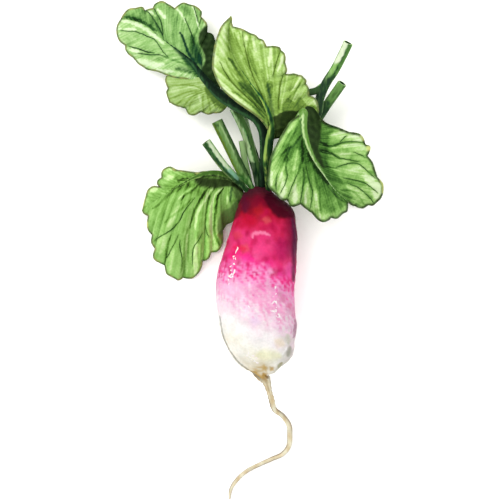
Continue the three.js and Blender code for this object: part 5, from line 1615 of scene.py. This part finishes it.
def leaf_piece(name, leaf, sizes, rod_tree, blade, rind, vein, seed):
    """A leaf: its stalk and rib in one ribbed rod, the halves of its blade and its side veins."""
    foot_share = min(half["span"][0] for half in leaf["halves"]) / (len(leaf["rib"]) - 1)
    thin, thick = leaf["stalk"]

    def radius_at(share, distance):
        full = thin + (thick - thin) * smoothstep(distance, FOOT_LENGTH, 2.5 * FOOT_LENGTH)
        taper = smoothstep(share, foot_share * 0.8, foot_share + (1 - foot_share) * 0.75)
        return swollen(full, distance) * (1 - taper) + sizes["rib_tip"] * taper

    values = {"Ribs": 3, "Rib Depth": sizes["rib_depth"], "Turn": 0.0}
    values.update({"Hollow": RIB_HOLLOW * MM, "Rind": rind})
    rib = rod_along(f"{name}_rib", leaf["rib"], radius_at, rod_tree, values)
    parts = [coated(rib, leaf["rib"], thick, RIB_COATS[name])]
    tops = []
    for i, half in enumerate(leaf["halves"]):
        part, top = half_blade(f"{name}_{i}", leaf, half, sizes, blade, seed + 10 * i)
        parts.append(part)
        if not half.get("turned"):
            tops.append(top)
    parts.append(veins_on(f"{name}_veins", leaf, tops, rod_tree, vein))
    return joined(f"radish_{name}", parts)


def stalk_piece(name, stalk, sizes, rod_tree, rind):
    """A stalk whose leaf was cut off, with its side stub if it has one."""
    low, high = stalk["radius"]

    def full_radius(share, distance):
        return swollen(low + (high - low) * share, distance)

    def stub_radius(share, distance):
        return low * (0.95 - 0.1 * share)

    rods = [(name, stalk["path"], full_radius, stalk["hollow"], (low + high) / 2, stalk["coats"])]
    if "side" in stalk:
        rods.append((f"{name}_stub", stalk["side"], stub_radius, STUB_HOLLOW, low, STUB_COATS))
    parts = []
    for title, path, radius_at, hollow, radius, coats in rods:
        values = {"Ribs": sizes["ribs"], "Rib Depth": sizes["rib_depth"], "Hollow": hollow * MM}
        values.update({"Turn": math.radians(stalk["turn"]), "Rind": rind})
        rod = rod_along(title, path, radius_at, rod_tree, values)
        parts.append(coated(rod, path, radius, coats))
    return joined(f"radish_{name}", parts)


def rinds(pith):
    """The stalk rinds by name, made once."""
    made = {}
    for name, greens in STALK_GREENS.items():
        title = name.replace("_", " ") + ", fresh rind"
        made[name] = bpy.data.materials.get(title) or stalk_rind(title, greens, pith)
    return made


# ------------------------------------------------------------------ settings


def length_setting(name, default, description):
    return bpy.props.FloatProperty(
        name=name, default=default, description=description, unit="LENGTH", precision=5
    )


def number_setting(name, default, description):
    kind = bpy.props.IntProperty if isinstance(default, int) else bpy.props.FloatProperty
    return kind(name=name, default=default, description=description)


def colour_setting(name, default, description):
    return bpy.props.StringProperty(name=name, default=default, description=description)


class RadishRootSettings(bpy.types.PropertyGroup):
    """Sizes of the root and the marks on it."""

    sides: number_setting("Sides", 128, "Points round the root")
    rings: number_setting("Rings", 700, "Rings along the root")
    mark_spacing: length_setting("Mark Spacing", 0.22 * MM, "Distance between bosses in a mark")
    mark_size: length_setting("Mark Size", 0.2 * MM, "Radius of a boss in a pale mark")


class RadishLeafSettings(bpy.types.PropertyGroup):
    """Sizes of the leaves, and the colour of their edge."""

    thickness: length_setting("Thickness", 0.4 * MM, "Thickness of a blade at its rib")
    margin_thickness: length_setting("Edge", 0.18 * MM, "Thickness of a blade at its edge")
    rib_tip: length_setting("Rib Tip", 0.22 * MM, "Radius of the middle rib at its tip")
    rows: number_setting("Rows", 60, "Steps from rib to edge")
    step: length_setting("Step", 0.28 * MM, "Distance between two points of the edge")
    rim: colour_setting("Edge Colour", "1f3d20", "Colour of the thin dark edge, as sRGB hex")


class RadishStalkSettings(bpy.types.PropertyGroup):
    """Sizes of the stalks, and the colour of their pith."""

    ribs: number_setting("Ribs", 3, "Ridges round a stalk")
    rib_depth: number_setting("Rib Depth", 0.07, "Height of a ridge, as a share of the radius")
    # The pith's dark colour is painted shade in the sunk hollow of a cut.
    pith: colour_setting("Pith", "1c3a22", "Colour of the wet pith where cut, as sRGB hex")


class RadishStageSettings(bpy.types.PropertyGroup):
    """The floor, the light and the camera."""

    floor_size: length_setting("Floor", 4.0, "Width of the floor")
    camera_height: length_setting("Camera Height", 1.0, "How far the camera is above the floor")
    view_width: length_setting("View Width", 140 * MM, "Width of floor that the camera sees")
    key_power: number_setting("Key", 3.0, "Power of the main light, in watts")
    daylight: number_setting("Daylight", 1.6, "Strength of the light from all round")
    key_colour: colour_setting("Key Colour", "fffaf2", "Colour of the main light, as sRGB hex")
    sky_colour: colour_setting("Sky Colour", "fffefc", "Colour of the daylight, as sRGB hex")


# ------------------------------------------------------------------ operators


class RADISH_OT_grow_root(bpy.types.Operator):
    """Makes the swollen root with its taproot, and the pale marks on its skin"""

    bl_idname = "radish.grow_root"
    bl_label = "Grow Root"

    def execute(self, context):
        settings = context.scene.radish_root
        root = root_piece(settings.sides, settings.rings)
        dressed(marks_piece(root, settings.mark_spacing, settings.mark_size), "root_skin")
        dressed(root, "root_skin", "root")
        return {"FINISHED"}


class RADISH_OT_grow_leaves(bpy.types.Operator):
    """Makes the four leaves, each with its stalk and middle rib"""

    bl_idname = "radish.grow_leaves"
    bl_label = "Grow Leaves"

    def execute(self, context):
        settings = context.scene.radish_leaves
        stalks = context.scene.radish_stalks
        lengths = ("thickness", "margin_thickness", "rib_tip", "step")
        sizes = {name: getattr(settings, name) / MM for name in lengths}
        sizes.update(rib_depth=stalks.rib_depth, rows=settings.rows)
        rind = rinds(stalks.pith)
        rod_tree = ribbed_rod_tree()
        for seed, (name, leaf) in enumerate(LEAVES.items()):
            kind = leaf["blade"]
            title = kind.replace("_", " ")
            colours = (BLADE_GREENS[kind], BLADE_SHADES[kind], settings.rim)
            blade = leaf_blade(f"{title}, fresh", *colours)
            vein = leaf_vein(f"{title}, veins", *VEIN_GREENS[kind])
            looks = (blade, rind[leaf["rind"]], vein)
            piece = leaf_piece(name, leaf, sizes, rod_tree, *looks, 100 * (seed + 1))
            dressed(piece, "leaf", name)
        return {"FINISHED"}


class RADISH_OT_grow_stalks(bpy.types.Operator):
    """Makes the stalks whose leaves were cut off, and the young one"""

    bl_idname = "radish.grow_stalks"
    bl_label = "Grow Stalks"

    def execute(self, context):
        settings = context.scene.radish_stalks
        sizes = {"ribs": settings.ribs, "rib_depth": settings.rib_depth}
        rind = rinds(settings.pith)
        rod_tree = ribbed_rod_tree()
        for name, stalk in CUT_STALKS.items():
            dressed(stalk_piece(name, stalk, sizes, rod_tree, rind[stalk["rind"]]), "stalk", name)
        return {"FINISHED"}


class RADISH_OT_set_stage(bpy.types.Operator):
    """Makes the pale floor, the soft light and the camera that looks straight down"""

    bl_idname = "radish.set_stage"
    bl_label = "Set Stage"

    def execute(self, context):
        settings = context.scene.radish_stage
        half = settings.floor_size / 2
        mesh = bpy.data.meshes.new("floor")
        corners = [(-half, -half, 0), (half, -half, 0), (half, half, 0), (-half, half, 0)]
        mesh.from_pydata(corners, [], [(0, 1, 2, 3)])
        mesh.materials.append(paper_floor())
        floor = linked("floor", mesh)

        world = bpy.data.worlds.new("soft daylight")
        world.use_nodes = True
        sky = world.node_tree.nodes["Background"].inputs
        sky["Color"].default_value = linear(settings.sky_colour)
        sky["Strength"].default_value = settings.daylight
        context.scene.world = world

        lamp = bpy.data.lights.new("window light", "AREA")
        lamp.energy = settings.key_power
        lamp.size = LAMP_SIZE
        lamp.color = linear(settings.key_colour)[:3]
        key = linked("window light", lamp)
        key.location = LAMP_PLACE
        key.rotation_euler = (-key.location).to_track_quat("-Z", "Y").to_euler()

        lens = bpy.data.cameras.new("camera")
        lens.sensor_width = SENSOR_WIDTH
        lens.lens = SENSOR_WIDTH * settings.camera_height / settings.view_width
        lens.clip_start, lens.clip_end = 0.05, 20
        camera = linked("camera", lens)
        x, y, _ = placed([(*EYE, 0)])[0]
        camera.location = (x, y, settings.camera_height)
        context.scene.camera = camera
        context.scene.view_settings.view_transform = "Standard"
        context.scene.view_settings.look = "None"
        return {"FINISHED"}


OPERATORS = {
    "radish_root": RADISH_OT_grow_root,
    "radish_leaves": RADISH_OT_grow_leaves,
    "radish_stalks": RADISH_OT_grow_stalks,
    "radish_stage": RADISH_OT_set_stage,
}


class RADISH_PT_panel(bpy.types.Panel):
    """Lists what there is to grow"""

    bl_idname = "RADISH_PT_panel"
    bl_label = "Radish"
    bl_space_type = "VIEW_3D"
    bl_region_type = "UI"
    bl_category = "Radish"

    def draw(self, context):
        for settings, operator in OPERATORS.items():
            box = self.layout.box()
            group = getattr(context.scene, settings)
            for name in group.bl_rna.properties.keys():
                if name not in ("rna_type", "name"):
                    box.prop(group, name)
            box.operator(operator.bl_idname)


SETTINGS = {
    "radish_root": RadishRootSettings,
    "radish_leaves": RadishLeafSettings,
    "radish_stalks": RadishStalkSettings,
    "radish_stage": RadishStageSettings,
}
CLASSES = (*SETTINGS.values(), *OPERATORS.values(), RADISH_PT_panel)


def register():
    for made_class in CLASSES:
        bpy.utils.register_class(made_class)
    for name, group in SETTINGS.items():
        setattr(bpy.types.Scene, name, bpy.props.PointerProperty(type=group))


def unregister():
    for name in SETTINGS:
        delattr(bpy.types.Scene, name)
    for made_class in reversed(CLASSES):
        bpy.utils.unregister_class(made_class)


def main():
    register()
    bpy.ops.radish.set_stage()
    bpy.ops.radish.grow_root()
    bpy.ops.radish.grow_leaves()
    bpy.ops.radish.grow_stalks()


if __name__ == "__main__":
    main()
